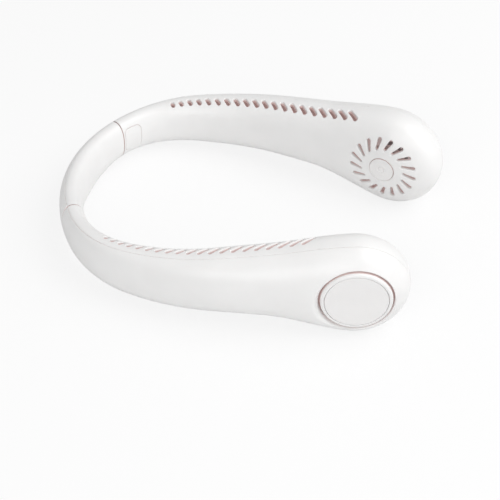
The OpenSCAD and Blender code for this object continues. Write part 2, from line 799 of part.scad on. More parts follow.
module inner_shell(side) {
    color(pearl)
        on(side) {
            difference() {
                union() {
                    half_shell(arm_stations, "inner", true);
                    if (side == "left") {
                        at_head(collar_low)
                            cylinder(r = collar_radius, h = collar_high - collar_low);
                        at_board_posts(collar_low)
                            cylinder(r = board_post_radius, h = board_low - collar_low);
                    }
                }
                for (k = [0:slot_count - 1])
                    slot(k);
                for (k = [1:grille_count])
                    grille_slot(k);
                cover_prism(cover_gap);
                if (side == "left") {
                    at_head(-head_inward - overrun)
                        cylinder(r = collar_bore, h = collar_depth + 2 * overrun);
                    at_board_posts(board_low - screw_bite)
                        cylinder(r = screw_radius, h = screw_bite + overrun);
                }
                if (side == "right")
                    at_line(charge_station, charge_outward - socket_thickness / 2, 0)
                        translate([-socket_width / 2 - button_gap, -socket_thickness / 2 - button_gap, -overrun])
                            cube([socket_width + 2 * button_gap, socket_thickness + 2 * button_gap,
                                charge_middle]);
                below_table();
            }
            difference() {
                strap();
                at_window(strap_low - overrun)
                    cylinder(r = screw_radius, h = strap_thickness + 2 * overrun);
            }
        }
}

// The cover plate follows the skin of the arm
cover_stations = [for (i = [0:4]) window_station + (cover_length / 2 + overrun) * (i / 2 - 1)];
module hinge_cover(side) {
    color(shade)
        on(side)
            intersection() {
                difference() {
                    body_slice(cover_stations, 0, 100, 260, 2 * ring_steps);
                    body_slice(cover_stations, cover_thickness, 90, 270, 2 * ring_steps);
                }
                cover_prism(0);
            }
}

// The floor of the air duct, from the rear of the slots to the scroll, with the
// wall that closes its rear end
duct_start = slot_first - slot_pitch;
duct_end_share = 0.87;
duct_end = head_station - duct_end_share * scroll_start;
duct_steps = 24;
duct_height = cell_height + cell_radius + guide_clearance + guide_wall;
cell_start_share = (cell_station - cell_length / 2 - duct_start) / (duct_end - duct_start);
cell_end_share = (cell_station + cell_length / 2 - duct_start) / (duct_end - duct_start);
function ease(f) = let(g = min(max(f, 0), 1)) g * g * (3 - 2 * g);
function duct_at(f) = duct_rear_height + (duct_height - duct_rear_height) * ease(f / cell_start_share)
    + (duct_head_height - duct_height) * ease((f - cell_end_share) / (1 - cell_end_share));
module duct_floor(side) {
    points = [for (i = [0:duct_steps]) let(
        f = i / duct_steps,
        s = duct_start + (duct_end - duct_start) * f,
        sec = section(s, wall + guide_clearance))
        for (k = [0:3]) let(
            z = duct_at(f) - (k == 1 || k == 2 ? 0 : guide_wall))
            place(s, reach_at(sec, z, k < 2 ? 1 : -1), z)];
    function at(i, k) = 4 * i + k % 4;
    sides = [for (i = [0:duct_steps - 1], k = [0:3])
        quad(at(i, k), at(i + 1, k), at(i + 1, k + 1), at(i, k + 1))];
    ends = [quad(0, 1, 2, 3), quad(at(duct_steps, 3), at(duct_steps, 2), at(duct_steps, 1), at(duct_steps, 0))];
    color(shade)
        on(side) {
            difference() {
                polyhedron(points, flat_list(concat(sides, ends)));
                at_head(-head_inward)
                    cylinder(r = scroll_start + guide_wall + guide_clearance, h = head_inward + head_outward);
                at_head(bracket_low - guide_clearance)
                    cylinder(r = throat_radius + guide_clearance, h = head_outward);
            }
            body_slice([duct_start, duct_start + guide_wall], wall + guide_clearance, -5, 185, ring_steps);
        }
}

// The scroll opens around the wheel from its tongue to the duct
scroll_from = 30;
scroll_turn = 300;
scroll_steps = 60;
function scroll_point(f, out) = let(
    r = scroll_start + scroll_growth * f + out,
    a = scroll_from - scroll_turn * f)
    [r * cos(a), r * sin(a)];
module scroll(side) {
    color(shade)
        on(side)
            difference() {
                at_head(-scroll_inward)
                    linear_extrude(scroll_inward + bracket_low)
                        polygon(concat([for (i = [0:scroll_steps]) scroll_point(i / scroll_steps, 0)],
                            [for (i = [scroll_steps:-1:0]) scroll_point(i / scroll_steps, guide_wall)]));
                at_bracket_screws(bracket_low - screw_head_height - guide_clearance)
                    cylinder(r = screw_head + guide_clearance, h = 2 * overrun);
            }
}

module battery(side) {
    color("steelblue")
        on(side)
            at_cell()
                translate([0, 0, -cell_length / 2]) {
                    cylinder(r = cell_radius, h = cell_length - contact_height);
                    cylinder(r = contact_radius, h = cell_length);
                }
}

// Wires run from the hinge to the rear end of the cell
lead_start = hinge_station + hinge_gap;
lead_end = cell_station - cell_length / 2 - guide_clearance;
lead_steps = 14;
module leads(side) {
    on(side)
        for (k = [-1:1])
            color(k == 0 ? "black" : k < 0 ? "firebrick" : "white")
                wire(lead_start, lead_end, wire_outward, wire_height + k * wire_pitch,
                    wire_height + k * wire_pitch, lead_steps);
}

spoke_overlap = 0.6;
module motor_bracket(side) {
    color(blush)
        on(side) {
            difference() {
                union() {
                    at_head(bracket_low)
                        difference() {
                            cylinder(r = throat_radius - spoke_overlap, h = bracket_thickness);
                            translate([0, 0, -overrun])
                                cylinder(r = hole_radius - spoke_overlap, h = bracket_thickness + 2 * overrun);
                        }
                    for (k = [1:bracket_screws])
                        at_head(bracket_low)
                            rotate([0, 0, 360 * k / bracket_screws])
                                translate([0, -spoke_width / 2, 0])
                                    cube([hole_radius, spoke_width, bracket_thickness]);
                    at_head(bracket_low)
                        cylinder(r = bracket_hub, h = bracket_thickness);
                    at_head(tube_low)
                        cylinder(r = tube_radius, h = bracket_low - tube_low + overrun);
                }
                at_head(tube_low - overrun)
                    cylinder(r = bush_radius, h = bush_low + bush_length - tube_low + overrun);
                at_legs(bracket_low - overrun)
                    cylinder(r = peg_radius, h = bracket_thickness + 2 * overrun);
                at_bracket_screws(bracket_low - overrun)
                    cylinder(r = screw_radius, h = bracket_thickness + 2 * overrun);
            }
        }
}

// Heights on the axis of a head: rotor, bush, stator and wheel
rotor_high = bracket_low - motor_board_thickness - rotor_gap;
rotor_low = -disc_thickness;
rotor_radius = magnet_radius + rotor_wall;
tube_low = rotor_low + rotor_wall + 2 * rotor_gap;
bush_low = tube_low + rotor_gap;
bush_length = rotor_high - bush_low;
stator_low = (rotor_low + rotor_high - stator_height) / 2 + rotor_gap;
stator_bore = tube_radius;
hub_wall_share = 1.3;
stator_hub = tube_radius + hub_wall_share * tooth_width;
tooth_tip = 0.8;
legs = 3;
module at_legs(w) {
    for (k = [1:legs])
        at_head(w)
            rotate([0, 0, 360 * (k - 1 / 2) / legs])
                translate([leg_circle, 0, 0])
                    children();
}

module motor_board(side) {
    color(blush)
        on(side)
            at_head(bracket_low - motor_board_thickness)
                difference() {
                    cylinder(r = bracket_hub, h = motor_board_thickness);
                    translate([0, 0, -overrun])
                        cylinder(r = tube_radius + shaft_clearance, h = motor_board_thickness + 2 * overrun);
                }
}

module bearing_bush(side) {
    color("goldenrod")
        on(side)
            at_head(bush_low)
                difference() {
                    cylinder(r = bush_radius, h = bush_length);
                    translate([0, 0, -overrun])
                        cylinder(r = shaft_radius + shaft_clearance, h = bush_length + 2 * overrun);
                }
}

tip_half_angle = 20;
module stator_core(side) {
    color("silver")
        on(side)
            at_head(stator_low) {
                difference() {
                    union() {
                        cylinder(r = stator_hub, h = stator_height);
                        for (k = [1:tooth_count])
                            rotate([0, 0, 360 * k / tooth_count])
                                translate([0, -tooth_width / 2, 0])
                                    cube([stator_radius - tooth_tip / 2, tooth_width, stator_height]);
                    }
                    translate([0, 0, -overrun])
                        cylinder(r = stator_bore, h = stator_height + 2 * overrun);
                }
                for (k = [1:tooth_count])
                    rotate([0, 0, 360 * k / tooth_count - tip_half_angle])
                        rotate_extrude(angle = 2 * tip_half_angle)
                            translate([stator_radius - tooth_tip, 0])
                                square([tooth_tip, stator_height]);
            }
}

winding_gap = 0.1;
module windings(side) {
    width = tooth_width + 2 * (winding_gap + winding_thickness);
    height = stator_height + 2 * (winding_gap + winding_thickness);
    length = sqrt(pow(stator_radius - tooth_tip, 2) - pow(width / 2, 2)) - stator_hub - 2 * winding_gap;
    color("peru")
        on(side)
            for (k = [1:tooth_count])
                at_head(stator_low + stator_height / 2)
                    rotate([0, 0, 360 * k / tooth_count])
                        translate([stator_hub + winding_gap + length / 2, 0, 0])
                            difference() {
                                cube([length, width, height], center = true);
                                cube([2 * length, width - 2 * winding_thickness,
                                    height - 2 * winding_thickness], center = true);
                            }
}

module intake_cap(side) {
    low = cap_face - cap_height;
    color(pearl)
        on(side) {
            at_head(low)
                rotate_extrude()
                    difference() {
                        union() {
                            square([cap_radius - cap_edge, cap_height]);
                            square([cap_radius, cap_height - cap_edge]);
                            translate([cap_radius - cap_edge, cap_height - cap_edge])
                                circle(cap_edge);
                        }
                        translate([0, cap_height - plate_thickness])
                            square([plate_radius + plate_groove, cap_height]);
                        translate([0, -overrun])
                            square([cap_radius - cap_edge, cap_height - plate_thickness - cap_floor + overrun]);
                    }
            at_legs(seat_outward)
                cylinder(r = leg_radius, h = cap_face - plate_thickness - cap_floor / 2 - seat_outward);
            at_legs(bracket_low)
                cylinder(r = peg_radius, h = bracket_thickness + overrun);
        }
}

module cap_plate(side) {
    color(shade)
        on(side)
            at_head(cap_face - plate_thickness)
                cylinder(r = plate_radius, h = plate_thickness);
}

// A screw with its head at the origin and its shank along +Z
module screw(length) {
    translate([0, 0, -screw_head_height])
        cylinder(r = screw_head, h = screw_head_height);
    cylinder(r = screw_radius, h = length);
}
module screws(side) {
    color("silver")
        on(side) {
            at_bracket_screws(bracket_low)
                screw(bracket_thickness + screw_bite - overrun);
            at_window(strap_low)
                screw(strap_thickness + screw_bite);
            if (side == "left")
                at_board_posts(board_high)
                    mirror([0, 0, 1])
                        screw(board_thickness + screw_bite - overrun);
            if (side == "right")
                at_charge_posts(charge_outward)
                    screw(board_thickness + screw_bite - overrun);
        }
}

// Blower wheel: a disc on the rotor with blades on both sides, held by rims
hub_wall = 0.9;
rim_width = 1.3;
blade_length = (wheel_radius - blade_start) / cos(blade_lean) - blade_thickness / 2;
module ring(outer, inner, height) {
    difference() {
        cylinder(r = outer, h = height);
        translate([0, 0, -overrun])
            cylinder(r = inner, h = height + 2 * overrun);
    }
}
module blade_row(height) {
    linear_extrude(height)
        for (k = [1:blade_count])
            rotate([0, 0, 360 * k / blade_count])
                translate([blade_start, 0])
                    rotate([0, 0, blade_lean])
                        translate([0, -blade_thickness / 2])
                            square([blade_length, blade_thickness]);
}
module wheel(side) {
    color(blush)
        on(side) {
            at_head(-disc_thickness)
                ring(wheel_radius, rotor_radius, disc_thickness);
            at_head(-disc_thickness)
                ring(rotor_radius + hub_wall, rotor_radius, blade_outward / 2);
            at_head(-disc_thickness / 2)
                blade_row(blade_outward + disc_thickness / 2);
            at_head(blade_outward - disc_thickness)
                ring(wheel_radius, wheel_radius - rim_width, disc_thickness);
            at_head(-disc_thickness - blade_inward)
                blade_row(blade_inward + disc_thickness / 2);
            at_head(-disc_thickness - blade_inward)
                ring(wheel_radius, wheel_radius - rim_width, disc_thickness);
        }
}

module rotor_cup(side) {
    color("darkgray")
        on(side) {
            at_head(rotor_low)
                ring(rotor_radius, magnet_radius, rotor_high - rotor_low);
            at_head(rotor_low)
                ring(rotor_radius, shaft_radius, rotor_wall);
        }
}

module magnet_ring(side) {
    color("black")
        on(side)
            at_head(stator_low - winding_thickness)
                ring(magnet_radius, magnet_radius - magnet_thickness, stator_height + 2 * winding_thickness);
}

module motor_shaft(side) {
    color("silver")
        on(side)
            at_head(rotor_low)
                cylinder(r = shaft_radius, h = rotor_high - rotor_low);
}

// Power button: a round stretch of the left head's skin behind a flange
icon_radius = 2.6;
icon_width = 0.5;
icon_depth = 0.25;
button_stations = [for (i = [0:4]) head_station + (button_radius + overrun) * (i / 2 - 1)];
module power_button() {
    color(pearl) {
        difference() {
            intersection() {
                at_head(-head_inward - overrun)
                    cylinder(r = button_radius, h = head_inward + overrun + flange_high);
                union() {
                    body_slice(button_stations, 0, 135, 225, ring_steps);
                    at_head(-head_inward + wall)
                        cylinder(r = button_radius, h = collar_depth + overrun);
                }
            }
            at_head(-head_inward - overrun)
                ring(icon_radius + icon_width / 2, icon_radius - icon_width / 2, overrun + icon_depth);
        }
        at_head(flange_low)
            cylinder(r = flange_radius, h = flange_thickness);
    }
}

module switch_board() {
    color(blush)
        difference() {
            at_head(board_low)
                cylinder(r = button_board_radius, h = board_thickness);
            at_board_posts(board_low - overrun)
                cylinder(r = screw_radius, h = board_thickness + 2 * overrun);
        }
}

module push_switch() {
    color("dimgray") {
        at_head(switch_low)
            translate([-switch_side / 2, -switch_side / 2, 0])
                cube([switch_side, switch_side, switch_height]);
        at_head(plunger_low)
            cylinder(r = plunger_radius, h = plunger_height + overrun);
    }
}

module charging_board() {
    color(blush)
        on("right")
            difference() {
                at_line(charge_station, charge_outward, charge_middle)
                    translate([-charge_length / 2, 0, -charge_height / 2])
                        cube([charge_length, board_thickness, charge_height]);
                at_charge_posts(charge_outward - overrun)
                    cylinder(r = screw_radius, h = board_thickness + 2 * overrun);
            }
}

// The charging socket opens downward through the underside of the right arm
socket_low = low_at(charge_station) - rest_depth + wall / 2;
tongue_thickness = 0.6;
module charging_socket() {
    color("silver")
        on("right")
            at_line(charge_station, charge_outward - socket_thickness / 2, socket_low) {
                difference() {
                    translate([-socket_width / 2, -socket_thickness / 2, 0])
                        cube([socket_width, socket_thickness, socket_depth]);
                    translate([socket_wall - socket_width / 2, socket_wall - socket_thickness / 2, -overrun])
                        cube([socket_width - 2 * socket_wall, socket_thickness - 2 * socket_wall,
                            socket_depth - socket_wall + overrun]);
                }
                translate([-socket_width / 4, -tongue_thickness / 2, socket_wall])
                    cube([socket_width / 2, tongue_thickness, socket_depth - 2 * socket_wall]);
            }
}

band_outer_shell();
band_inner_shell();
band_wires();
power_button();
switch_board();
push_switch();
charging_board();
charging_socket();
for (side = ["left", "right"]) {
    hinge_pin(side);
    outer_shell(side);
    inner_shell(side);
    hinge_cover(side);
    duct_floor(side);
    scroll(side);
    battery(side);
    leads(side);
    motor_bracket(side);
    motor_board(side);
    bearing_bush(side);
    stator_core(side);
    windings(side);
    intake_cap(side);
    cap_plate(side);
    screws(side);
    wheel(side);
    rotor_cup(side);
    magnet_ring(side);
    motor_shaft(side);
}
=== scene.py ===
import bmesh
import bpy
import numpy as np
from mathutils import Matrix, Vector
from mathutils.geometry import delaunay_2d_cdt


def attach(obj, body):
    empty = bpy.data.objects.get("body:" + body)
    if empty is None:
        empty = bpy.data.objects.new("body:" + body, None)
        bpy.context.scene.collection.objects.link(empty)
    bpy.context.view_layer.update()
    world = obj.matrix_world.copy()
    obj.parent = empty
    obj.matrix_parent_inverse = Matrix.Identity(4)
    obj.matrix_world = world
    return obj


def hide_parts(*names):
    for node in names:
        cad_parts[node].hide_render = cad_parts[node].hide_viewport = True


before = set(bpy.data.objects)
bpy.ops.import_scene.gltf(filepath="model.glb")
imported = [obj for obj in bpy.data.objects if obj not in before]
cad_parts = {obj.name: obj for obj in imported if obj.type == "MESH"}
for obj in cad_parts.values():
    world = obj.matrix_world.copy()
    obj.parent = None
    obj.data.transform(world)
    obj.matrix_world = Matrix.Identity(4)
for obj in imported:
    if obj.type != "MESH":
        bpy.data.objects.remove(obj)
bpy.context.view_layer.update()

# The camera looks down on the fan from its open side, 13 degrees round from
# the right arm and 40 degrees above the table, through a long lens.
MM = 0.001
azimuth, elevation, roll = np.radians([13.44, 40.17, -1.84])
camera_distance = 966.64
focal_pixels = 1546.6
frame_pixels = 500
aim_point = np.array([1.863, 0, 24.7])
aim_pixel = (245.73, 199.62)
backward = np.array([
    np.sin(azimuth) * np.cos(elevation), -np.cos(azimuth) * np.cos(elevation), np.sin(elevation)])
level = np.array([np.cos(azimuth), np.sin(azimuth), 0])
upward = np.cross(backward, level)
camera_right = np.cos(roll) * level - np.sin(roll) * upward
camera_up = np.sin(roll) * level + np.cos(roll) * upward
sight = (-focal_pixels * backward + (frame_pixels / 2 - aim_pixel[0]) * camera_right
         - (frame_pixels / 2 - aim_pixel[1]) * camera_up)
sight /= np.linalg.norm(sight)
camera_right -= camera_right.dot(sight) * sight
camera_right /= np.linalg.norm(camera_right)
camera_up = np.cross(camera_right, sight)


def stand(name, data):
    """An object of the scene for a camera, a lamp or a mesh"""
    made = bpy.data.objects.new(name, data)
    bpy.context.scene.collection.objects.link(made)
    return made


camera_data = bpy.data.cameras.new("camera")
camera_data.sensor_width = 36
camera_data.lens = camera_data.sensor_width * focal_pixels / frame_pixels
camera_data.clip_end = 50
camera = stand("camera", camera_data)
camera_place = (aim_point + camera_distance * backward) * MM
camera.matrix_world = Matrix([[*row, place] for row, place in zip(
    np.column_stack([camera_right, camera_up, -sight]), camera_place)] + [[0, 0, 0, 1]])
bpy.context.scene.camera = camera
bpy.context.scene.view_settings.view_transform = "Standard"


# The table is a plain pale sheet that shows white to the camera and keeps the
# soft shadow of the fan. It lies a hair below the fan's own flat faces.
def growing(tree):
    """A function that adds a node to a tree, sets or links its inputs, and gives its outputs"""
    def grow(kind, feeds=None, **settings):
        made = tree.nodes.new(kind)
        for key, value in settings.items():
            setattr(made, key, value)
        for socket, feed in (feeds or {}).items():
            for one in feed if isinstance(feed, list) else [feed]:
                if isinstance(one, bpy.types.NodeSocket):
                    tree.links.new(one, made.inputs[socket])
                else:
                    made.inputs[socket].default_value = one
        return made.outputs
    return grow


def new_paint(name):
    made = bpy.data.materials.new(name)
    made.use_nodes = True
    made.node_tree.nodes.clear()
    return made, growing(made.node_tree)


table_reach, table_top = 6, -0.02 * MM
table_paint, grow = new_paint("table_paint")
rays = grow("ShaderNodeLightPath")
seen = grow("ShaderNodeMath", {0: rays["Is Camera Ray"], 1: rays["Is Transmission Ray"]}, operation="MAXIMUM")
share = grow("ShaderNodeMath", {0: seen[0], 1: 0.8}, operation="MULTIPLY")
matt = grow("ShaderNodeBsdfDiffuse", {"Color": (0.86, 0.86, 0.86, 1)})
bright = grow("ShaderNodeEmission", {"Color": (1, 1, 1, 1)})
blend = grow("ShaderNodeMixShader", {0: share[0], 1: matt[0], 2: bright[0]})
grow("ShaderNodeOutputMaterial", {"Surface": blend[0]})
table_mesh = bpy.data.meshes.new("table")
table_mesh.from_pydata([(x * table_reach, y * table_reach, table_top)
                        for x, y in ((-1, -1), (1, -1), (1, 1), (-1, 1))], [], [(0, 1, 2, 3)])
table_mesh.materials.append(table_paint)
table = stand("table", table_mesh)

# Soft studio light: a broad softbox above to the right and behind, another one
# over the camera, and an even pale room all round.
room = bpy.data.worlds.new("room")
bpy.context.scene.world = room
room.use_nodes = True
room.node_tree.nodes.clear()
grow = growing(room.node_tree)
dim = grow("ShaderNodeBackground", {"Color": (1, 1, 1, 1), "Strength": 0.46})
white = grow("ShaderNodeBackground", {"Color": (1, 1, 1, 1), "Strength": 1})
blend = grow("ShaderNodeMixShader", {0: grow("ShaderNodeLightPath")["Is Camera Ray"], 1: dim[0], 2: white[0]})
grow("ShaderNodeOutputWorld", {"Surface": blend[0]})
for name, place, towards, side, power in (
        ("softbox_above", (0.8, 0.1, 1.0), (0, 0, 0), 1.0, 10),
        ("softbox_front", (-0.1, -1.25, 0.9), (0, 0, 0.02), 0.9, 6.8)):
    lamp_data = bpy.data.lights.new(name, "AREA")
    lamp_data.shape = "SQUARE"
    lamp_data.size = side
    lamp_data.energy = power
    away = Vector(place) - Vector(towards)
    stand(name, lamp_data).matrix_world = (
        Matrix.Translation(place) @ away.to_track_quat("Z", "Y").to_matrix().to_4x4())

# The inner shells of the arms face the neck. Each is moulded in satin white
# plastic, with the outlet slots along its top, the round intake grille, the
# window of the hinge cover, and rounded edges everywhere.
wall, edge_rounding, mesh_step = 1.8, 0.22, 1.7
line_radii, front_arc = np.array([87, 66.7, 151.4, 1030]), 112.1
line_turns = np.append(np.radians([37.2, 41.6, 21.4]), front_arc / line_radii[3])
line_starts = np.append(0, np.cumsum(line_radii * line_turns))
line_headings = np.pi / 2 - np.append(0, np.cumsum(line_turns))
line_corners = [np.zeros(2)]
for radius, heading, turn in zip(line_radii, line_headings, line_turns):
    line_corners.append(line_corners[-1] + radius * np.array([
        np.sin(heading) - np.sin(heading - turn), np.cos(heading - turn) - np.cos(heading)]))
line_corners = np.array(line_corners)
line_shift = -108.137
line_length = line_starts[4]
tip_length = 34
tip_start = line_length - tip_length
pole = tip_start + tip_length * np.pi / 2
pole_margin = 0.0006
section_power, tip_power = 2.3, 2.2
rear_height, head_height, arch_height = 31.7, 63.8, 9.3
rear_depth, head_inward_depth, head_outward_depth, head_split = 7.7, 18.6, 22.9, 5.2
station_shares = np.array([0, 0.19, 0.39, 0.69, 0.89])
top_heights = rear_height + (head_height - rear_height) * np.array([0, 0.034, 0.209, 0.645, 1])
low_heights = arch_height * np.array([0, 0.61, 0.57, 1, -0.031])
inward_depths = rear_depth + (head_inward_depth - rear_depth) * np.array([0, -0.035, 0.47, 0.97, 1])
outward_depths = rear_depth + (head_outward_depth - rear_depth) * np.array([0, -0.033, 0.14, 0.72, 1])
split_places = head_split * np.array([0.65, 0.65, 0.5, 0.58, 1])
hinge_station, hinge_gap, split_gap, rest_depth = 45.0, 0.7, 0.1, 0.3


def neck_line(s):
    """Place, heading and bend of the line that runs round the neck, at stations from its rear middle"""
    d = np.abs(s)
    i = np.clip(np.searchsorted(line_starts, d, side="right") - 1, 0, 3)
    heading = line_headings[i] - (d - line_starts[i]) / line_radii[i]
    x = line_corners[i, 0] + line_radii[i] * (np.sin(line_headings[i]) - np.sin(heading)) + line_shift
    y = line_corners[i, 1] + line_radii[i] * (np.cos(heading) - np.cos(line_headings[i]))
    return x, np.where(s < 0, -y, y), np.where(s < 0, np.pi - heading, heading), 1 / line_radii[i]


def along(values, s):
    """A size between its values at the five shares of the line, without overshoot"""
    step = np.diff(station_shares)
    rise = np.diff(values) / step
    slope = np.zeros(5)
    for k in (1, 2, 3):
        if rise[k - 1] * rise[k] > 0:
            near, far = 2 * step[k] + step[k - 1], step[k] + 2 * step[k - 1]
            slope[k] = (near + far) / (near / rise[k - 1] + far / rise[k])
    part = np.clip(np.abs(s) / line_length, 0, station_shares[4])
    k = np.clip(np.searchsorted(station_shares, part, side="right") - 1, 0, 3)
    f = (part - station_shares[k]) / step[k]
    return (values[k] * (1 + 2 * f) * (1 - f) ** 2 + values[k + 1] * f * f * (3 - 2 * f)
            + step[k] * f * (1 - f) * (slope[k] * (1 - f) - slope[k + 1] * f))


def station(q):
    """The true station of an unrolled one, which runs on evenly round the tip"""
    return np.sign(q) * np.where(np.abs(q) > tip_start, tip_start + tip_length * np.sin(
        np.clip(np.abs(q) - tip_start, 0, pole - tip_start) / tip_length), np.abs(q))


def unrolled(s):
    return np.where(s > tip_start, tip_start + tip_length * np.arcsin(
        np.clip((s - tip_start) / tip_length, 0, 1)), s)


def tip_turn(q):
    return np.clip((np.abs(q) - tip_start) / tip_length, 0, np.pi / 2 - pole_margin)


def half_sizes(q):
    """Middle height, half height, and depth inward and outward of the section at unrolled stations"""
    s, turn = station(q), tip_turn(q)
    wide = (1 - np.sin(turn) ** tip_power) ** (1 / tip_power)
    top, low = along(top_heights, s), along(low_heights, s)
    return ((top + low) / 2 - rest_depth, (top - low) / 2 * np.cos(turn),
            along(inward_depths, s) * wide, along(outward_depths, s) * wide)


def rounded(c):
    return np.sign(c) * np.abs(c) ** (2 / section_power)


def unit(v):
    return v / np.maximum(np.linalg.norm(v, axis=-1, keepdims=True), 1e-12)


def skin(q, a):
    """Points and normals of the body's outside at unrolled stations and section angles"""
    q, a = np.broadcast_arrays(np.asarray(q, float), np.asarray(a, float))
    s = station(q)
    middle, half, inward, outward = half_sizes(q)
    c, v = np.cos(a), np.sin(a)
    deep = np.where(c > 0, outward, inward)
    n = deep * rounded(c)
    x, y, heading, bend = neck_line(s)
    points = np.stack([x - np.sin(heading) * n, y + np.cos(heading) * n, middle + half * rounded(v)], -1)
    d = 0.01

    def rise(values):
        return along(values, np.abs(s) + d) - along(values, np.abs(s) - d)
    tops, lows = rise(top_heights), rise(low_heights)
    height = along(top_heights, s) - along(low_heights, s)
    sides = np.where(c > 0, rise(outward_depths) / along(outward_depths, s),
                     rise(inward_depths) / along(inward_depths, s)) / 2 / d
    u = np.sin(tip_turn(q))
    across = np.sign(c) * np.abs(c) ** (2 - 2 / section_power) / deep
    over = np.sign(v) * np.abs(v) ** (2 - 2 / section_power) / half
    front = (-c * c * (sides - u ** (tip_power - 1) / (1 - u ** tip_power) / tip_length)
             - v * v * ((tops - lows) / 2 / d / height - u / (1 - u * u) / tip_length)
             - over * (tops + lows) / 4 / d)
    front = np.sign(q) * front / (1 + n * bend)
    return points, unit(np.stack([front * np.cos(heading) - across * np.sin(heading),
                                  front * np.sin(heading) + across * np.cos(heading), over], -1))


def arc(q, b, middle_angle):
    """Length along the section from its middle angle to angles b from there"""
    q, b = np.asarray(q, float), np.asarray(b, float)
    a = middle_angle + b[:, None] * np.linspace(0, 1, 161)
    _, half, inward, outward = half_sizes(q)
    deep = np.where(np.cos(a) > 0, outward[:, None], inward[:, None])
    n, z = deep * rounded(np.cos(a)), half[:, None] * rounded(np.sin(a))
    return np.sign(b) * np.hypot(np.diff(n, axis=1), np.diff(z, axis=1)).sum(1)


def inside(loop, points):
    x, y = points.T
    odd = np.zeros(len(points), bool)
    for (x0, y0), (x1, y1) in zip(loop, np.roll(loop, -1, axis=0)):
        cross = (y0 > y) != (y1 > y)
        if cross.any():
            odd[cross] ^= x[cross] < x0 + (y[cross] - y0) * (x1 - x0) / (y1 - y0)
    return odd


def on_sheet(loops, points):
    """Which points lie inside the first loop and outside the others"""
    free = inside(loops[0], points)
    for loop in loops[1:]:
        free &= ~inside(loop, points)
    return free


def rounded_rows(r, wall_depth=None):
    """Rows of a rounded edge, as offset, depth and tilt, and of a straight wall below it"""
    rows = [(r * (1 - np.sin(t)), r * (1 - np.cos(t)), t) for t in np.radians(np.linspace(0, 90, 5))]
    return rows + ([(0, wall_depth, np.pi / 2)] if wall_depth else [])


def sheet(loops, middle_angle, spacing, more):
    """An even grid between loops, with more rows of points, and the triangles that join loops and grid"""
    row_share, clear_share = 0.87, 0.55
    low, high = loops[0].min(0), loops[0].max(0)
    reach = np.linspace(-np.pi, np.pi, 361)
    grid = []
    for k, q in enumerate(np.arange(low[0] + spacing / 2, high[0], spacing * row_share)):
        lengths = arc(np.full(len(reach), q), reach, middle_angle)
        v = np.arange(low[1] + (k % 2) * spacing / 2, high[1], spacing)
        v = v[(v > lengths[0]) & (v < lengths[-1])]
        grid.append(np.column_stack([np.full(len(v), q), v, np.interp(v, lengths, reach)]))
    grid = np.concatenate(grid)
    grid = grid[on_sheet(loops, grid[:, :2])]
    more = [np.column_stack([q, arc(q, b, middle_angle), b]) for q, b in more]
    taken = np.concatenate(loops + [row[:, :2] for row in more])
    gap = np.full(len(grid), np.inf)
    for some in np.array_split(taken, len(taken) // 100 + 1):
        gap = np.minimum(gap, np.hypot(grid[:, :1] - some[:, 0], grid[:, 1:2] - some[:, 1]).min(1))
    grid = np.concatenate([grid[gap > clear_share * spacing]] + more)
    flat = np.concatenate(loops + [grid[:, :2]])
    firsts = np.cumsum([0] + [len(loop) for loop in loops]).tolist()
    sides = [(first + k, first + (k + 1) % len(loop))
             for first, loop in zip(firsts, loops) for k in range(len(loop))]
    found = delaunay_2d_cdt([Vector(p) for p in flat.tolist()], sides, [], 1, 1e-7, True)
    origin = np.array([ids[0] if ids else -1 for ids in found[3]])
    triangles = origin[np.array(found[2])]
    triangles = triangles[(triangles >= 0).all(1)]
    return firsts, grid, triangles[on_sheet(loops, flat[triangles].mean(1))]


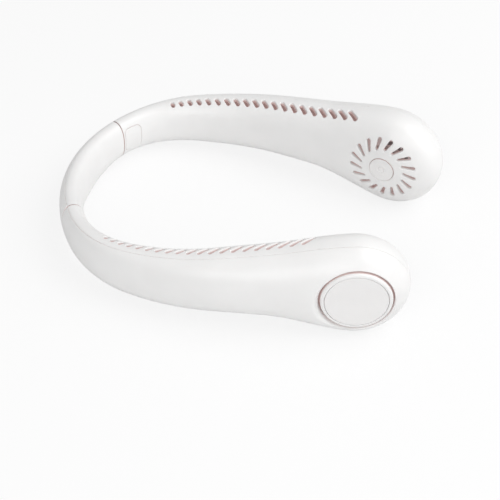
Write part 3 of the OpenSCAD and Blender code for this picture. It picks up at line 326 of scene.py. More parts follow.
def moulding(edge, cuts, middle_angle, thickness, spacing, lay=skin, lining=None, joined=(), more=()):
    """A moulded wall: a stretch of the body's skin inside the loop edge(o), with cuts through it. Every loop
    is given at a distance o into the plastic from its true edge. It gets a rounding, a wall and an inside.
    The result is points, triangles, a normal for each corner, and which triangles lie inside the body."""
    loops, columns = [], []
    for cut in [dict(loop=edge, rows=rounded_rows(edge_rounding))] + cuts:
        column = []
        for o, depth, tilt in cut["rows"]:
            q, b = cut["loop"](o)
            column.append((*lay(q, middle_angle + b), depth, tilt))
            if len(column) == 1:
                loops.append(np.column_stack([q, arc(q, b, middle_angle)]))
        columns.append(column)
    firsts, grid, triangles = sheet(loops, middle_angle, spacing, more)
    grid_points, grid_normals = lay(grid[:, 0], middle_angle + grid[:, 2])
    points = np.concatenate([column[0][0] for column in columns] + [grid_points])
    normals = np.concatenate([column[0][1] for column in columns] + [grid_normals])
    a, b, c = (points[triangles[:, k]] for k in range(3))
    if (np.cross(b - a, c - a) * normals[triangles[:, 0]]).sum() < 0:
        triangles = triangles[:, ::-1]
    edges = np.concatenate([triangles[:, pair] for pair in ([0, 1], [1, 2], [2, 0])])
    edges = set(map(tuple, edges.tolist()))
    inner = lining(points, normals) if lining else points - thickness * normals
    base = len(points) + sum(len(column[0][0]) * (len(column) - 1) for column in columns)
    vertices, count = [points], len(points)
    faces, facings, within = [triangles], [normals[triangles]], [np.zeros(len(triangles), bool)]
    for cut, column, loop, first in zip([{}] + cuts, columns, loops, firsts):
        place, facing = column[0][:2]
        rim, rim_normals = column[-1][:2]
        towards = unit(rim - place - ((rim - place) * facing).sum(-1, keepdims=True) * facing)
        down = np.broadcast_to(cut["down"], place.shape) if "down" in cut else -facing
        k = np.arange(len(loop))
        j = np.roll(k, -1)
        forward = any(pair in edges for pair in zip((first + k).tolist(), (first + j).tolist()))
        one, two = (j, k) if forward else (k, j)
        ring = first + k
        open_sides = np.array([not (first + a in joined and first + b in joined) for a, b in zip(k, j)])
        for laid, laid_normals, depth, tilt in column[1:] + [(None, None, 0, 0)]:
            last = laid is None
            if last:
                slope = -(down * rim_normals).sum(-1, keepdims=True)
                inner[first + k] = cut["foot"](place) if "foot" in cut else (
                    rim + down * thickness / np.maximum(slope, 0.5))
                next_ring, next_facing = base + first + k, facing
            else:
                place = laid + depth * down
                next_facing = np.cos(tilt) * laid_normals + np.sin(tilt) * towards
                next_ring = count + k
                vertices.append(place)
                count += len(k)
            corners = ((ring, facing, one), (ring, facing, two), (next_ring, next_facing, two),
                       (next_ring, next_facing, one))
            for trio in (corners[:3], (corners[0], *corners[2:])):
                faces.append(np.column_stack([row[at] for row, _, at in trio])[open_sides])
                facings.append(np.stack([normal[at] for _, normal, at in trio], 1)[open_sides])
                within.append(np.full(len(faces[-1]), last))
            ring, facing = next_ring, next_facing
    faces = np.concatenate(faces + [triangles[:, ::-1] + base])
    for a, b in getattr(joined, "items", dict)():
        faces[faces == a] = b
        faces[faces == base + a] = base + b
    return (np.concatenate(vertices + [inner]), faces,
            np.concatenate(facings + [-normals[triangles[:, ::-1]]]),
            np.concatenate(within + [np.ones(len(triangles), bool)]))


head_station, head_radius, grille_rise = line_length - 32.56, head_height / 2, 0.7
head_middle = head_radius - rest_depth + grille_rise


def line_axes(s):
    """Place on the neck line at one station, and the directions forward and outward there"""
    x, y, heading, _ = neck_line(np.array(float(s)))
    return (np.array([x, y]), np.array([np.cos(heading), np.sin(heading), 0]),
            np.array([-np.sin(heading), np.cos(heading), 0]))


def plan_place(s0, x, n, over=1):
    """Where plan points x forward and n outward of station s0 lie on the top (over = 1) or underside (-1) of
    an inner shell, as stations and angles from its middle"""
    start, ahead, aside = line_axes(s0)
    px, py = (start[k] + x * ahead[k] + n * aside[k] for k in (0, 1))
    s = s0 + np.asarray(x, float)
    for _ in range(8):
        lx, ly, heading, bend = neck_line(s)
        off = (py - ly) * np.cos(heading) - (px - lx) * np.sin(heading)
        s = s + ((px - lx) * np.cos(heading) + (py - ly) * np.sin(heading)) / (1 + off * bend)
    q = unrolled(s)
    _, _, inward, outward = half_sizes(q)
    deep = np.where(off > 0, outward, inward)
    a = np.arccos(np.clip(np.sign(off) * np.abs(off / deep) ** (section_power / 2), -1, 1))
    return q, over * (a - np.pi)


def side_place(s0, x, z, outer):
    """Where points x forward of station s0 and z above the table lie on the outer or the inner side, as
    stations and angles from its middle. They are reached in small steps, for the line bends."""
    step_share = 0.8
    start, ahead, _ = line_axes(s0)
    s = s0 + np.asarray(x, float)
    for _ in range(40):
        q = unrolled(s)
        middle, half, inward, outward = half_sizes(q)
        up = np.clip((z - middle) / half, -1, 1)
        n = (outward if outer else -inward) * (1 - np.abs(up) ** section_power) ** (1 / section_power)
        lx, ly, heading, _ = neck_line(s)
        reached = ((lx - np.sin(heading) * n - start[0]) * ahead[0]
                   + (ly + np.cos(heading) * n - start[1]) * ahead[1])
        s = s + step_share * (x - reached)
    a = np.arcsin(np.sign(up) * np.abs(up) ** (section_power / 2))
    return q, a if outer else -a


def between(a, b, steps):
    """The points between two ends of a straight run, without the ends"""
    return a + (b - a) * np.linspace(0, 1, steps + 1)[1:-1, None]


def capsule(length, start_radius, end_radius, o, straight=6):
    """Outline of a slot with round ends at 0 and at length along X, grown by o"""
    lean = np.arccos((start_radius - end_radius) / length)
    turn = np.linspace(-1, 1, 11)
    far, near = lean * turn, np.pi + (np.pi - lean) * turn
    far = np.column_stack([length + (end_radius + o) * np.cos(far), (end_radius + o) * np.sin(far)])
    near = np.column_stack([(start_radius + o) * np.cos(near), (start_radius + o) * np.sin(near)])
    return np.concatenate([far, between(far[-1], near[0], straight),
                           near, between(near[-1], far[0], straight)])


def turned(points, angle):
    c, s = np.cos(angle), np.sin(angle)
    return np.column_stack([c * points[:, 0] - s * points[:, 1], s * points[:, 0] + c * points[:, 1]])


slot_count, slot_width, slot_edge, slot_wall, slot_foot, slot_step = 20, 2.6, 0.6, 1.3, 1.5, 1.1
slot_first, slot_last, slot_spread = 86.5, head_station - 28.15, 1.05
slot_near, slot_far = -0.13, -0.5
first_slant, last_slant, slant_spread = 1.2, 8.2, 0.75


def outlet_slot(k):
    """One of the slots along the top: the nearer to the head, the longer and the more slanted it is"""
    f = k / (slot_count - 1)
    s0 = slot_first + (slot_last - slot_first) * f ** slot_spread
    inward = half_sizes(np.array(s0))[2]
    near, far = slot_near * inward, slot_far * inward
    slant = first_slant + (last_slant - first_slant) * f ** slant_spread
    straight = np.hypot(slant, near - far) - slot_width

    def outline(o):
        shape = capsule(straight, slot_width / 2, slot_width / 2, o, int(straight / slot_step) + 1)
        shape = turned(shape - [straight / 2, 0], -np.arctan2(near - far, slant))
        return plan_place(s0, shape[:, 0], (near + far) / 2 + shape[:, 1])
    return dict(loop=outline, rows=rounded_rows(slot_edge, slot_wall), down=np.array([0, 0, -1]),
                foot=lambda place: place - [0, 0, slot_foot])


head_spot, head_forward, head_outward = line_axes(head_station)
head_centre = np.append(head_spot, head_middle)
grille_count, grille_edge, grille_slant = 17, 0.75, np.radians(27)
grille_start, grille_length = 0.4577 * head_radius, 0.2069 * head_radius
grille_near_radius, grille_far_radius = 0.8, 1.3


def about_head(points):
    """Distance outward along the axis of the head, distance from the axis, and direction away from it"""
    from_centre = points - head_centre
    w = from_centre @ head_outward
    away = from_centre - w[:, None] * head_outward
    r = np.linalg.norm(away, axis=-1)
    return w, r, away / np.maximum(r, 1e-9)[:, None]


def foot_at(w):
    """A foot that ends a wall at a distance outward along the axis of the head"""
    return lambda place: place + (w - about_head(place)[0])[:, None] * head_outward


def grille_slot(k):
    """One of the slots that stand round the middle of the grille, wider outside and swept to one side"""
    def outline(o):
        shape = turned(capsule(grille_length, grille_near_radius, grille_far_radius, o), grille_slant)
        shape = turned(shape + [grille_start, 0], np.pi / 2 + 2 * np.pi * k / grille_count)
        return side_place(head_station, -shape[:, 0], head_middle + shape[:, 1], False)
    return dict(loop=outline, rows=rounded_rows(grille_edge, wall), down=head_outward,
                foot=lambda place: place + head_outward)


arm_start = hinge_station + hinge_gap / 2
cover_length, cover_height, cover_corner, cover_gap = 12.4, 17, 3, 0.15
cover_margin, cover_rise = 1.9, 0.8
cover_station = arm_start + cover_margin + cover_length / 2
seam_middle = float(along(top_heights, hinge_station) + along(low_heights, hinge_station)) / 2 - rest_depth
cover_middle = seam_middle + cover_rise


def cover_outline(o):
    """The cover plate's rectangle with round corners, grown by o and laid on the neck side"""
    across, up, r = cover_length / 2 - cover_corner, cover_height / 2 - cover_corner, cover_corner + o
    corners = []
    for k, (x, z) in enumerate([(across, up), (-across, up), (-across, -up), (across, -up)]):
        turn = np.linspace(0, np.pi / 2, 9) + k * np.pi / 2
        corners.append(np.column_stack([x + r * np.cos(turn), z + r * np.sin(turn)]))
    shape = np.concatenate([part for this, following in zip(corners, corners[1:] + corners[:1])
                            for part in (this, between(this[-1], following[0], 7))])
    return side_place(cover_station, shape[:, 0], cover_middle + shape[:, 1], False)


def seam(q, o, sign):
    """Section angle of the parting line, o beyond its true edge on the inner (-1) or the outer (1) side"""
    outward = half_sizes(q)[3]
    n = along(split_places, station(q)) + sign * (split_gap / 2 + o)
    return np.arccos(np.clip(n / outward, 0, 1) ** (section_power / 2))


seam_turn = 1.05
seam_steps, front_steps, end_steps, slit_steps = 150, 20, 44, 8


def seam_run(o, sign):
    """The parting line along the top of an arm, from the hinge to the front of the tip"""
    last = tip_start + tip_length * seam_turn
    q = np.append(arm_start + o, np.linspace(arm_start + 2, last, seam_steps))
    a = seam(q, o, sign)
    front = np.linspace(1, 0, front_steps + 1)[1:] * a[-1]
    n = head_split + sign * (split_gap / 2 + o)
    wide = n / head_outward_depth / np.maximum(np.cos(front), 1e-9) ** (2 / section_power)
    turn = np.arcsin((1 - wide ** tip_power) ** (1 / tip_power))
    return np.append(q, tip_start + tip_length * turn), np.append(a, front)


def end_run(q, b):
    """The open end of a shell at q, from the parting line on the underside to the one on top"""
    f = np.linspace(-1, 1, end_steps + 1)[1:-1]
    return np.full(len(f), q), b * f


def inner_edge(o):
    """The edge of an inner shell: the parting line, a slit to the pole of the tip, and the open end"""
    q, a = seam_run(o, -1)
    b = np.pi - a
    slit = q[-1] + (pole - q[-1]) * np.linspace(0, 1, slit_steps + 1)[1:-1]
    half_turn = np.full(len(slit), np.pi)
    end_q, end_b = end_run(arm_start + o, b[0])
    return (np.concatenate([q, slit, [pole], slit[::-1], q[::-1], end_q]),
            np.concatenate([b, half_turn, [0], -half_turn, -b[::-1], end_b]))


# The slit from the front of the parting line to the pole is closed again, by pairs of its points
slit_start = seam_steps + front_steps
slit_pairs = {slit_start + 2 * slit_steps - k: slit_start + k for k in range(slit_steps)}
slit_pairs[slit_start + slit_steps] = slit_start + slit_steps


def rested(lay):
    """The same skin, flattened where it stands on the table"""
    def flattened(q, a):
        points, normals = lay(q, a)
        low = points[:, 2] < 0
        points[low, 2] = 0
        normals[low] = [0, 0, -1]
        return points, normals
    return flattened


def join(*parts):
    """Several sets of points, triangles, corner normals and inside marks as one"""
    points, faces, facings, within = zip(*parts)
    counts = np.cumsum([0] + [len(some) for some in points])
    return (np.concatenate(points), np.concatenate([some + count for some, count in zip(faces, counts)]),
            np.concatenate(facings), np.concatenate(within))


def mirrored(part):
    return part[0] * [1, -1, 1], part[1][:, ::-1], part[2][:, ::-1] * [1, -1, 1], part[3]


def piece(name, parts, paint, side="left"):
    """Parts as one object, in their own finish outside and the inside finish within: a darker, pinker copy of
    the white that is painted shade, with a faint painted glow
    """
    vertices, faces, facings, within = mirrored(join(*parts)) if side == "right" else join(*parts)
    mesh = bpy.data.meshes.new(name)
    mesh.vertices.add(len(vertices))
    mesh.vertices.foreach_set("co", (vertices * MM).ravel())
    mesh.loops.add(faces.size)
    mesh.loops.foreach_set("vertex_index", faces.ravel().astype(np.int32))
    mesh.polygons.add(len(faces))
    mesh.polygons.foreach_set("loop_start", np.arange(0, faces.size, 3, dtype=np.int32))
    mesh.polygons.foreach_set("use_smooth", np.ones(len(faces), bool))
    mesh.polygons.foreach_set("material_index", within.astype(np.int32))
    mesh.update(calc_edges=True)
    mesh.normals_split_custom_set(facings.reshape(-1, 3).tolist())
    mesh.materials.append(paint)
    # The second material paints shade and a faint glow on the faces within
    mesh.materials.append(shaded_inside_plastic)
    return stand(name, mesh)


def fit(made, node, body):
    """A piece stands for a node of the frame, which is hidden, and moves with its body"""
    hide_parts(node)
    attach(made, body)
    return made


def ramp(grow, factor, low, high):
    """A colour that goes from one to another between two values of a factor"""
    made = grow("ShaderNodeValToRGB", {"Fac": factor})
    for element, (place, colour) in zip(made[0].node.color_ramp.elements, (low, high)):
        element.position, element.color = place, (*colour, 1)
    return made["Color"]


def white_plastic(name, colour, shade, rough, grain, glow=0):
    """Satin moulded plastic: a faint mottle in colour and gloss, and a fine spark-eroded grain. The glow
    stands for the light that comes through the thin white walls, on the faces that lie behind them."""
    paint, grow = new_paint(name)
    place = grow("ShaderNodeTexCoord")["Object"]
    mottle = grow("ShaderNodeTexNoise", {"Scale": 60, "Detail": 3, "Vector": place})["Fac"]
    fine = grow("ShaderNodeTexNoise", {"Scale": 2600, "Detail": 2, "Vector": place})["Fac"]
    gloss = grow("ShaderNodeMapRange", {"To Min": rough - 0.03, "To Max": rough + 0.05, "Value": mottle})
    relief = grow("ShaderNodeBump", {"Strength": grain, "Distance": 0.00004, "Height": fine})
    plastic = grow("ShaderNodeBsdfPrincipled", {
        "IOR": 1.49, "Roughness": gloss["Result"], "Normal": relief["Normal"],
        "Subsurface Weight": 0.1, "Subsurface Radius": (1.0, 0.9, 0.88), "Subsurface Scale": 0.0006,
        "Base Color": ramp(grow, mottle, (0.35, shade), (0.65, colour)),
        "Emission Color": (*colour, 1), "Emission Strength": glow})
    grow("ShaderNodeOutputMaterial", {"Surface": plastic["BSDF"]})
    return paint


shell_plastic = white_plastic("satin_white_shell", (0.87, 0.865, 0.86), (0.85, 0.845, 0.84), 0.36, 0.12)
# The inside of a shell is the same white plastic: its darker, pinker colour is painted shade, and its faint
# emission is a painted glow
shaded_inside_plastic = white_plastic("inside_of_shell_painted_shade_and_glow", (0.71, 0.57, 0.55), (0.68, 0.54, 0.52), 0.6, 0.4, 0.11)
score_stations, score_margin = (81.9, 218.6), 1.0
score_half, score_depth, score_fade = 0.26, 0.13, 0.08
score_end = 0.63 ** (section_power / 2)
score_rows = []
for s0 in score_stations:
    q = np.full(24, s0)
    a = np.linspace(seam(q, score_margin, -1)[0], np.arccos(-score_end), len(q))
    score_rows += [(q + x, a - np.pi) for x in np.linspace(-1, 1, 5) * score_half]


def groove(x, half, depth):
    """Depth and slope of a smooth groove of a half width, at distances x from its middle"""
    x = np.clip(x / half, -1, 1)
    return depth * np.cos(np.pi / 2 * x) ** 2, depth * np.pi / 2 / half * np.sin(np.pi * x)


def scored(q, a):
    """The skin with the two fine scores that end the strip of slots"""
    points, normals = skin(q, a)
    c, heading = np.cos(a), neck_line(q)[2]
    fade = np.clip((c + score_end) / score_fade, 0, 1) * (c < 0.5)
    ahead = np.stack([np.cos(heading), np.sin(heading), 0 * heading], -1)
    for s0 in score_stations:
        depth, slope = groove(q - s0, score_half, score_depth)
        points = points - (fade * depth)[:, None] * normals
        normals = unit(normals - (fade * slope)[:, None] * ahead)
    return points, normals


button_radius, button_gap, button_hole_edge, collar_depth, window_edge = 8.0, 0.15, 1.1, 4.4, 0.25
collar_foot = collar_depth - head_inward_depth
head_turns = np.linspace(0, 2 * np.pi, 97)[:-1]


def head_circle(radius, outer):
    """A circle about the axis of a head, laid on its outer or its inner side"""
    return side_place(head_station, -radius * np.cos(head_turns),
                      head_middle + radius * np.sin(head_turns), outer)


cell_station, cell_length, charge_gap, charge_length = head_station - 81, 65, 14.5, 26
charge_station = cell_station - cell_length / 2 - charge_gap - charge_length / 2
charge_outward, socket_width, socket_depth, socket_gap = 0.6, 7.6, 2.7, 0.15


def inlet_hole(o):
    """The opening for the charging socket, in the underside of the right arm"""
    across, deep = socket_width / 2 + socket_gap + o, socket_depth / 2 + socket_gap + o
    corners = np.array([(across, -deep), (across, deep), (-across, deep), (-across, -deep), (across, -deep)])
    shape = np.concatenate([part for a, b in zip(corners, corners[1:]) for part in ([a], between(a, b, 7))])
    return plan_place(charge_station, shape[:, 0], charge_outward - socket_depth / 2 + shape[:, 1], -1)


cuts = [outlet_slot(k) for k in range(slot_count)] + [grille_slot(k) for k in range(grille_count)]
window = dict(loop=lambda o: cover_outline(cover_gap + o), rows=rounded_rows(window_edge),
              down=line_axes(cover_station)[2])
button_hole = dict(loop=lambda o: head_circle(button_radius + button_gap + o, False),
                   rows=rounded_rows(button_hole_edge, wall), down=head_outward, foot=foot_at(collar_foot))
inlet = dict(loop=inlet_hole, rows=rounded_rows(window_edge), down=np.array([0, 0, 1]))
for side, own in (("left", button_hole), ("right", inlet)):
    made = piece(side + "_inner_moulding", [moulding(
        inner_edge, cuts + [window, own], np.pi, wall, mesh_step, rested(scored),
        joined=slit_pairs, more=score_rows)], shell_plastic, side)
    fit(made, side + "_inner_shell", side + "_arm")

# The outer shells of the arms face away from the neck. Each is one moulding
# with the round hole of the intake, whose rim rolls in where the arm meets it.
hole_radius, throat_radius, seat_outward = 22.1, 25.5, 12
lip_radius, lip_blend, lip_reach, lip_flare = 6, 1.2, 8, 0.04
lip_circle = hole_radius + lip_radius
lip_middle = float(along(outward_depths, head_station - lip_circle)) - lip_radius


def lipped(q, a):
    """The skin with the rolled rim of the intake, blended into it"""
    points, normals = skin(q, a)
    w, r, away = about_head(points)
    near = (r < lip_circle + lip_reach) & (w > 0)
    drop, beyond = np.maximum(lip_circle - r, 0), np.maximum(r - lip_circle, 0)
    tall = np.sqrt(np.maximum(lip_radius ** 2 - drop ** 2, 1e-4))
    lip = lip_middle + tall + lip_flare * beyond ** 2
    slope = drop / tall + 2 * lip_flare * beyond
    h = np.where(near, np.clip(0.5 + 0.5 * (lip - w) / lip_blend, 0, 1), 1)
    moved = lip * (1 - h) + w * h - lip_blend * h * (1 - h)
    rolled = head_outward - slope[:, None] * away
    kept = h / np.maximum(normals @ head_outward, 0.02)
    facing = unit(kept[:, None] * normals + (1 - h)[:, None] * rolled)
    points = np.where(near[:, None], points + (moved - w)[:, None] * head_outward, points)
    return points, np.where((near & (h < 1))[:, None], facing, normals)


def throat_lining(points, normals):
    """The inside of the shell, with a flat seat round the intake"""
    w, r, _ = about_head(points)
    inner = points - wall * normals
    throat = (r < throat_radius) & (w > seat_outward)
    inner[throat] = points[throat] - (w[throat] - seat_outward)[:, None] * head_outward
    return inner


def outer_edge(o):
    q, a = seam_run(o, 1)
    end_q, end_b = end_run(arm_start + o, a[0])
    return np.concatenate([q, q[-2::-1], end_q]), np.concatenate([a, -a[-2::-1], end_b])


lip_swing = 50
lip_turns = np.radians(np.linspace(lip_swing, 0, 9))
intake_hole = dict(loop=lambda o: head_circle(hole_radius + o, True),
                   rows=[(lip_radius * (1 - np.cos(turn)), 0, 0) for turn in lip_turns],
                   down=-head_outward, foot=foot_at(seat_outward))
lip_rows = [head_circle(hole_radius + o, True) for o in (3, 4, 5, 6)]
pin_offset = 3.2
pin_spot, pin_forward, pin_outward = line_axes(hinge_station)
pin_place = np.append(pin_spot, seam_middle) + pin_offset * pin_outward


def prism(outline, low, high, edge):
    """A straight block over an outline about the left hinge pin, with rounded edges"""
    shape = bmesh.new()
    base = [shape.verts.new((x, y, low)) for x, y in outline]
    lid = [shape.verts.new((x, y, high)) for x, y in outline]
    shape.faces.new(base[::-1])
    shape.faces.new(lid)
    for k in range(len(base)):
        j = (k + 1) % len(base)
        shape.faces.new((base[k], base[j], lid[j], lid[k]))
    bmesh.ops.recalc_face_normals(shape, faces=shape.faces)
    crease = 0.5
    edges = [one for one in shape.edges if one.calc_face_angle() > crease]
    bmesh.ops.bevel(shape, geom=edges, offset=edge, segments=2, profile=0.5, affect="EDGES")
    bmesh.ops.triangulate(shape, faces=shape.faces)
    shape.verts.index_update()
    x, y, z = np.array([vertex.co for vertex in shape.verts]).T[:, :, None]
    vertices = pin_place + x * pin_forward + y * pin_outward + z * [0, 0, 1]
    faces = np.array([[vertex.index for vertex in face.verts] for face in shape.faces])
    shape.free()
    a, b, c = (vertices[faces[:, k]] for k in range(3))
    flat = unit(np.cross(b - a, c - a))
    return vertices, faces, np.repeat(flat[:, None], 3, 1), np.zeros(len(faces), bool)


knuckle_radius, knuckle_web, knuckle_edge, arm_knuckle_half = 1.6, 6.5, 0.12, 3.2
web_outward = knuckle_radius + wall / 2


def knuckle(low, high, ahead):
    """A hinge knuckle with the web that joins it to its shell, ahead of the pin or behind it"""
    turn = np.linspace(1.5 * np.pi, 0.5 * np.pi, 17)
    outline = ([(knuckle_web, -knuckle_radius)]
               + [(knuckle_radius * np.cos(t), knuckle_radius * np.sin(t)) for t in turn]
               + [(hinge_gap, knuckle_radius), (hinge_gap, web_outward), (knuckle_web, web_outward)])
    return prism([(x if ahead else -x, y) for x, y in outline], low, high, knuckle_edge)


for side in ("left", "right"):
    made = piece(side + "_outer_moulding", [
        moulding(outer_edge, [intake_hole], 0, wall, mesh_step, rested(lipped), throat_lining, more=lip_rows),
        knuckle(-arm_knuckle_half, arm_knuckle_half, True)], shell_plastic, side)
    fit(made, side + "_outer_shell", side + "_arm")

# The band behind the neck is two mouldings as well. The outer one carries the
# hinge knuckles, the inner one a curved apron that closes each hinge from inside.
band_end = hinge_station - hinge_gap / 2
band_knuckle_low, band_knuckle_high = 3.4, 7
apron_radius, apron_thickness, apron_half, apron_edge, apron_turns = 7.7, 1, 6.5, 0.15, (-130, -70)
foot_back, foot_front, foot_top, foot_half, foot_margin = -2.5, -0.7, -7.2, 5.5, 0.9


def band_edge(sign):
    """The edge of the outer (1) or the inner (-1) shell of the band"""
    def outline(o):
        q = np.concatenate([[o - band_end], np.linspace(2 - band_end, band_end - 2, 60), [band_end - o]])
        a = seam(q, o, sign)
        b = np.pi - a if sign < 0 else a
        end_q, end_b = end_run(q[-1], -b[-1])
        return (np.concatenate([q, end_q, q[::-1], -end_q]), np.concatenate([b, end_b, -b[::-1], -end_b]))
    return outline


def apron():
    """The apron of the left hinge, bent about the pin, with the foot that joins it to the band"""
    turn = np.radians(np.linspace(*apron_turns, 25))
    round_pin = np.column_stack([np.cos(turn), np.sin(turn)])
    curve = np.concatenate([apron_radius * round_pin, (apron_radius - apron_thickness) * round_pin[::-1]])
    deep = foot_margin - float(along(inward_depths, hinge_station)) - pin_offset
    foot = [(foot_back, deep), (foot_front, deep), (foot_front, foot_top), (foot_back, foot_top)]
    return join(prism(curve.tolist(), -apron_half, apron_half, apron_edge),
                prism(foot, -foot_half, foot_half, apron_edge))


hinges = [knuckle(band_knuckle_low, band_knuckle_high, False),
          knuckle(-band_knuckle_high, -band_knuckle_low, False)]
for name, sign, middle_angle, fixtures in (
        ("outer", 1, 0, hinges + [mirrored(part) for part in hinges]),
        ("inner", -1, np.pi, [apron(), mirrored(apron())])):
    made = piece(f"band_{name}_moulding", [
        moulding(band_edge(sign), [], middle_angle, wall, mesh_step, rested(skin))] + fixtures, shell_plastic)
    fit(made, f"band_{name}_shell", "band")

# A small cover plate beside each hinge closes the window over the wires. It is
# clipped in flush and held by one screw from behind.
cover_thickness, cover_step = 1.6, 1.2
for side in ("left", "right"):
    made = piece(side + "_cover_plate", [moulding(
        lambda o: cover_outline(-o), [], np.pi, cover_thickness, cover_step)], shell_plastic, side)
    fit(made, side + "_hinge_cover", side + "_arm")


# Three insulated wires run through the band, and three from each hinge to the
# cell. They are made along the neck line, and the shells hold them.
def geometry_tree(name, inputs):
    """A node tree with a named input for each size and material: the tree, a function that adds a node to it,
    one that adds a sum, and its inputs"""
    tree = bpy.data.node_groups.new(name, "GeometryNodeTree")
    tree.interface.new_socket("Geometry", in_out="OUTPUT", socket_type="NodeSocketGeometry")
    for key, value in inputs.items():
        kind = {int: "NodeSocketInt", float: "NodeSocketFloat"}.get(type(value), value)
        socket = tree.interface.new_socket(key, in_out="INPUT", socket_type=kind)
        if kind != value:
            socket.default_value = value
    grow = growing(tree)

    def reckon(how, *values):
        return grow("ShaderNodeMath", dict(enumerate(values)), operation=how)[0]
    return tree, grow, reckon, grow("NodeGroupInput")


def raised(grow, geometry, height):
    """The same geometry, moved up"""
    up = grow("ShaderNodeCombineXYZ", {"Z": height})
    return grow("GeometryNodeTransform", {"Geometry": geometry, "Translation": up[0]})[0]


def grown(name, tree, values, start=None):
    """The plain mesh that a tree makes from a starting mesh"""
    made = stand(name, start or bpy.data.meshes.new(name))
    modifier = made.modifiers.new("build", "NODES")
    modifier.node_group = tree
    for socket in tree.interface.items_tree:
        if socket.in_out == "INPUT" and socket.name in values:
            modifier[socket.identifier] = values[socket.name]
    mesh = bpy.data.meshes.new_from_object(made.evaluated_get(bpy.context.evaluated_depsgraph_get()))
    made.modifiers.remove(modifier)
    bpy.data.objects.remove(made)
    return mesh


def finished(name, mesh, side="left", place=None, smooth=40):
    """A piece whose mesh is moved to its place, mirrored for the right side"""
    mesh.transform(place or Matrix())
    if side == "right":
        mesh.transform(Matrix.Diagonal((1, -1, 1, 1)))
        mesh.flip_normals()
    mesh.shade_smooth()
    mesh.set_sharp_from_angle(angle=np.radians(smooth))
    return stand(name, mesh)


def sleeve(name, colour):
    """Soft wire insulation, slightly dusty, with a fine drawn grain"""
    return white_plastic(name, colour, tuple(0.8 * c for c in colour), 0.5, 0.3)


wire_tree, grow, reckon, given = geometry_tree("wires", {
    "Path": "NodeSocketGeometry", "Radius": 0.0007, "Pitch": 0.0017,
    "Lowest": "NodeSocketMaterial", "Middle": "NodeSocketMaterial", "Highest": "NodeSocketMaterial"})
path = grow("GeometryNodeMeshToCurve", {"Mesh": given["Path"]})
ring = grow("GeometryNodeCurvePrimitiveCircle", {"Resolution": 12, "Radius": given["Radius"]})
tube = grow("GeometryNodeCurveToMesh", {"Curve": path[0], "Profile Curve": ring[0], "Fill Caps": True})
wires = []
for key, times in (("Lowest", -1.0), ("Middle", 0.0), ("Highest", 1.0)):
    wire = raised(grow, tube[0], reckon("MULTIPLY", given["Pitch"], times))
    wires.append(grow("GeometryNodeSetMaterial", {"Geometry": wire, "Material": given[key]})[0])
joined = grow("GeometryNodeJoinGeometry", {"Geometry": wires})
grow("NodeGroupOutput", {0: grow("GeometryNodeRealizeInstances", {"Geometry": joined[0]})[0]})
wire_paints = {"Lowest": sleeve("red_insulation", (0.5, 0.05, 0.04)),
               "Middle": sleeve("black_insulation", (0.04, 0.04, 0.045)),
               "Highest": sleeve("white_insulation", (0.8, 0.79, 0.77))}
wire_points, wire_inward, wire_height = 48, 0.7, 14.4
band_reach, lead_start, lead_end = (
    hinge_station - hinge_gap, hinge_station + hinge_gap, cell_station - cell_length / 2 - 0.3)
for name, node, start, end, side, body in (
        ("band_wire_run", "band_wires", -band_reach, band_reach, "left", "band"),
        ("left_lead_run", "left_leads", lead_start, lead_end, "left", "left_arm"),
        ("right_lead_run", "right_leads", lead_start, lead_end, "right", "right_arm")):
    x, y, heading, _ = neck_line(np.linspace(start, end, wire_points))
    route = np.column_stack([x + wire_inward * np.sin(heading), y - wire_inward * np.cos(heading),
                             np.full(wire_points, wire_height)])
    line = bpy.data.meshes.new(name)
    line.from_pydata((route * MM).tolist(), [(k, k + 1) for k in range(wire_points - 1)], [])
    fit(finished(name, grown(name, wire_tree, wire_paints, line), side), node, body)


# The parts that stay as the frame has them get the finish of the real ones: bright
# turned steel for the pins, shafts and socket, rolled steel for the rotor cups.
def dress(paint, *nodes):
    for node in nodes:
        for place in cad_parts[node].material_slots:
            place.material = paint


def both(*names):
    return [side + "_" + name for name in names for side in ("left", "right")]


def turned_metal(name, colour, rough, scale, metallic=1.0):
    """Metal with fine turning lines across the axis of a head, and a slight tarnish"""
    paint, grow = new_paint(name)
    place = grow("ShaderNodeTexCoord")["Object"]
    stretch = grow("ShaderNodeMapping", {"Scale": (1, 14, 1), "Vector": place})
    lines = grow("ShaderNodeTexNoise", {"Scale": scale, "Detail": 4, "Vector": stretch["Vector"]})["Fac"]
    cloud = grow("ShaderNodeTexNoise", {"Scale": 180, "Vector": place})["Fac"]
    gloss = grow("ShaderNodeMapRange", {"To Min": rough - 0.08, "To Max": rough + 0.1, "Value": lines})
    relief = grow("ShaderNodeBump", {"Strength": 0.25, "Distance": 0.00003, "Height": lines})
    metal = grow("ShaderNodeBsdfPrincipled", {
        "Metallic": metallic, "Roughness": gloss["Result"], "Normal": relief["Normal"],
        "Base Color": ramp(grow, cloud, (0.3, [0.82 * c for c in colour]), (0.7, colour))})
    grow("ShaderNodeOutputMaterial", {"Surface": metal["BSDF"]})
    return paint


bright_steel = turned_metal("bright_steel", (0.72, 0.73, 0.75), 0.28, 900)
dress(bright_steel, *both("hinge_pin", "motor_shaft"), "charging_socket")
dress(turned_metal("rolled_steel", (0.6, 0.61, 0.63), 0.4, 500), *both("rotor_cup"))
dress(turned_metal("stacked_steel", (0.45, 0.46, 0.48), 0.5, 1800), *both("stator_core"))
dress(turned_metal("sintered_bronze", (0.66, 0.5, 0.26), 0.48, 2600), *both("bearing_bush"))
dress(turned_metal("dull_ferrite", (0.16, 0.16, 0.17), 0.62, 1200, 0.3), *both("magnet_ring"))

# The cell in each arm is a metal can in a shrunk sleeve, which lies in two ribs
# of the outer shell.
dress(white_plastic("blue_sleeve", (0.2, 0.42, 0.62), (0.17, 0.37, 0.56), 0.3, 0.5), *both("battery"))
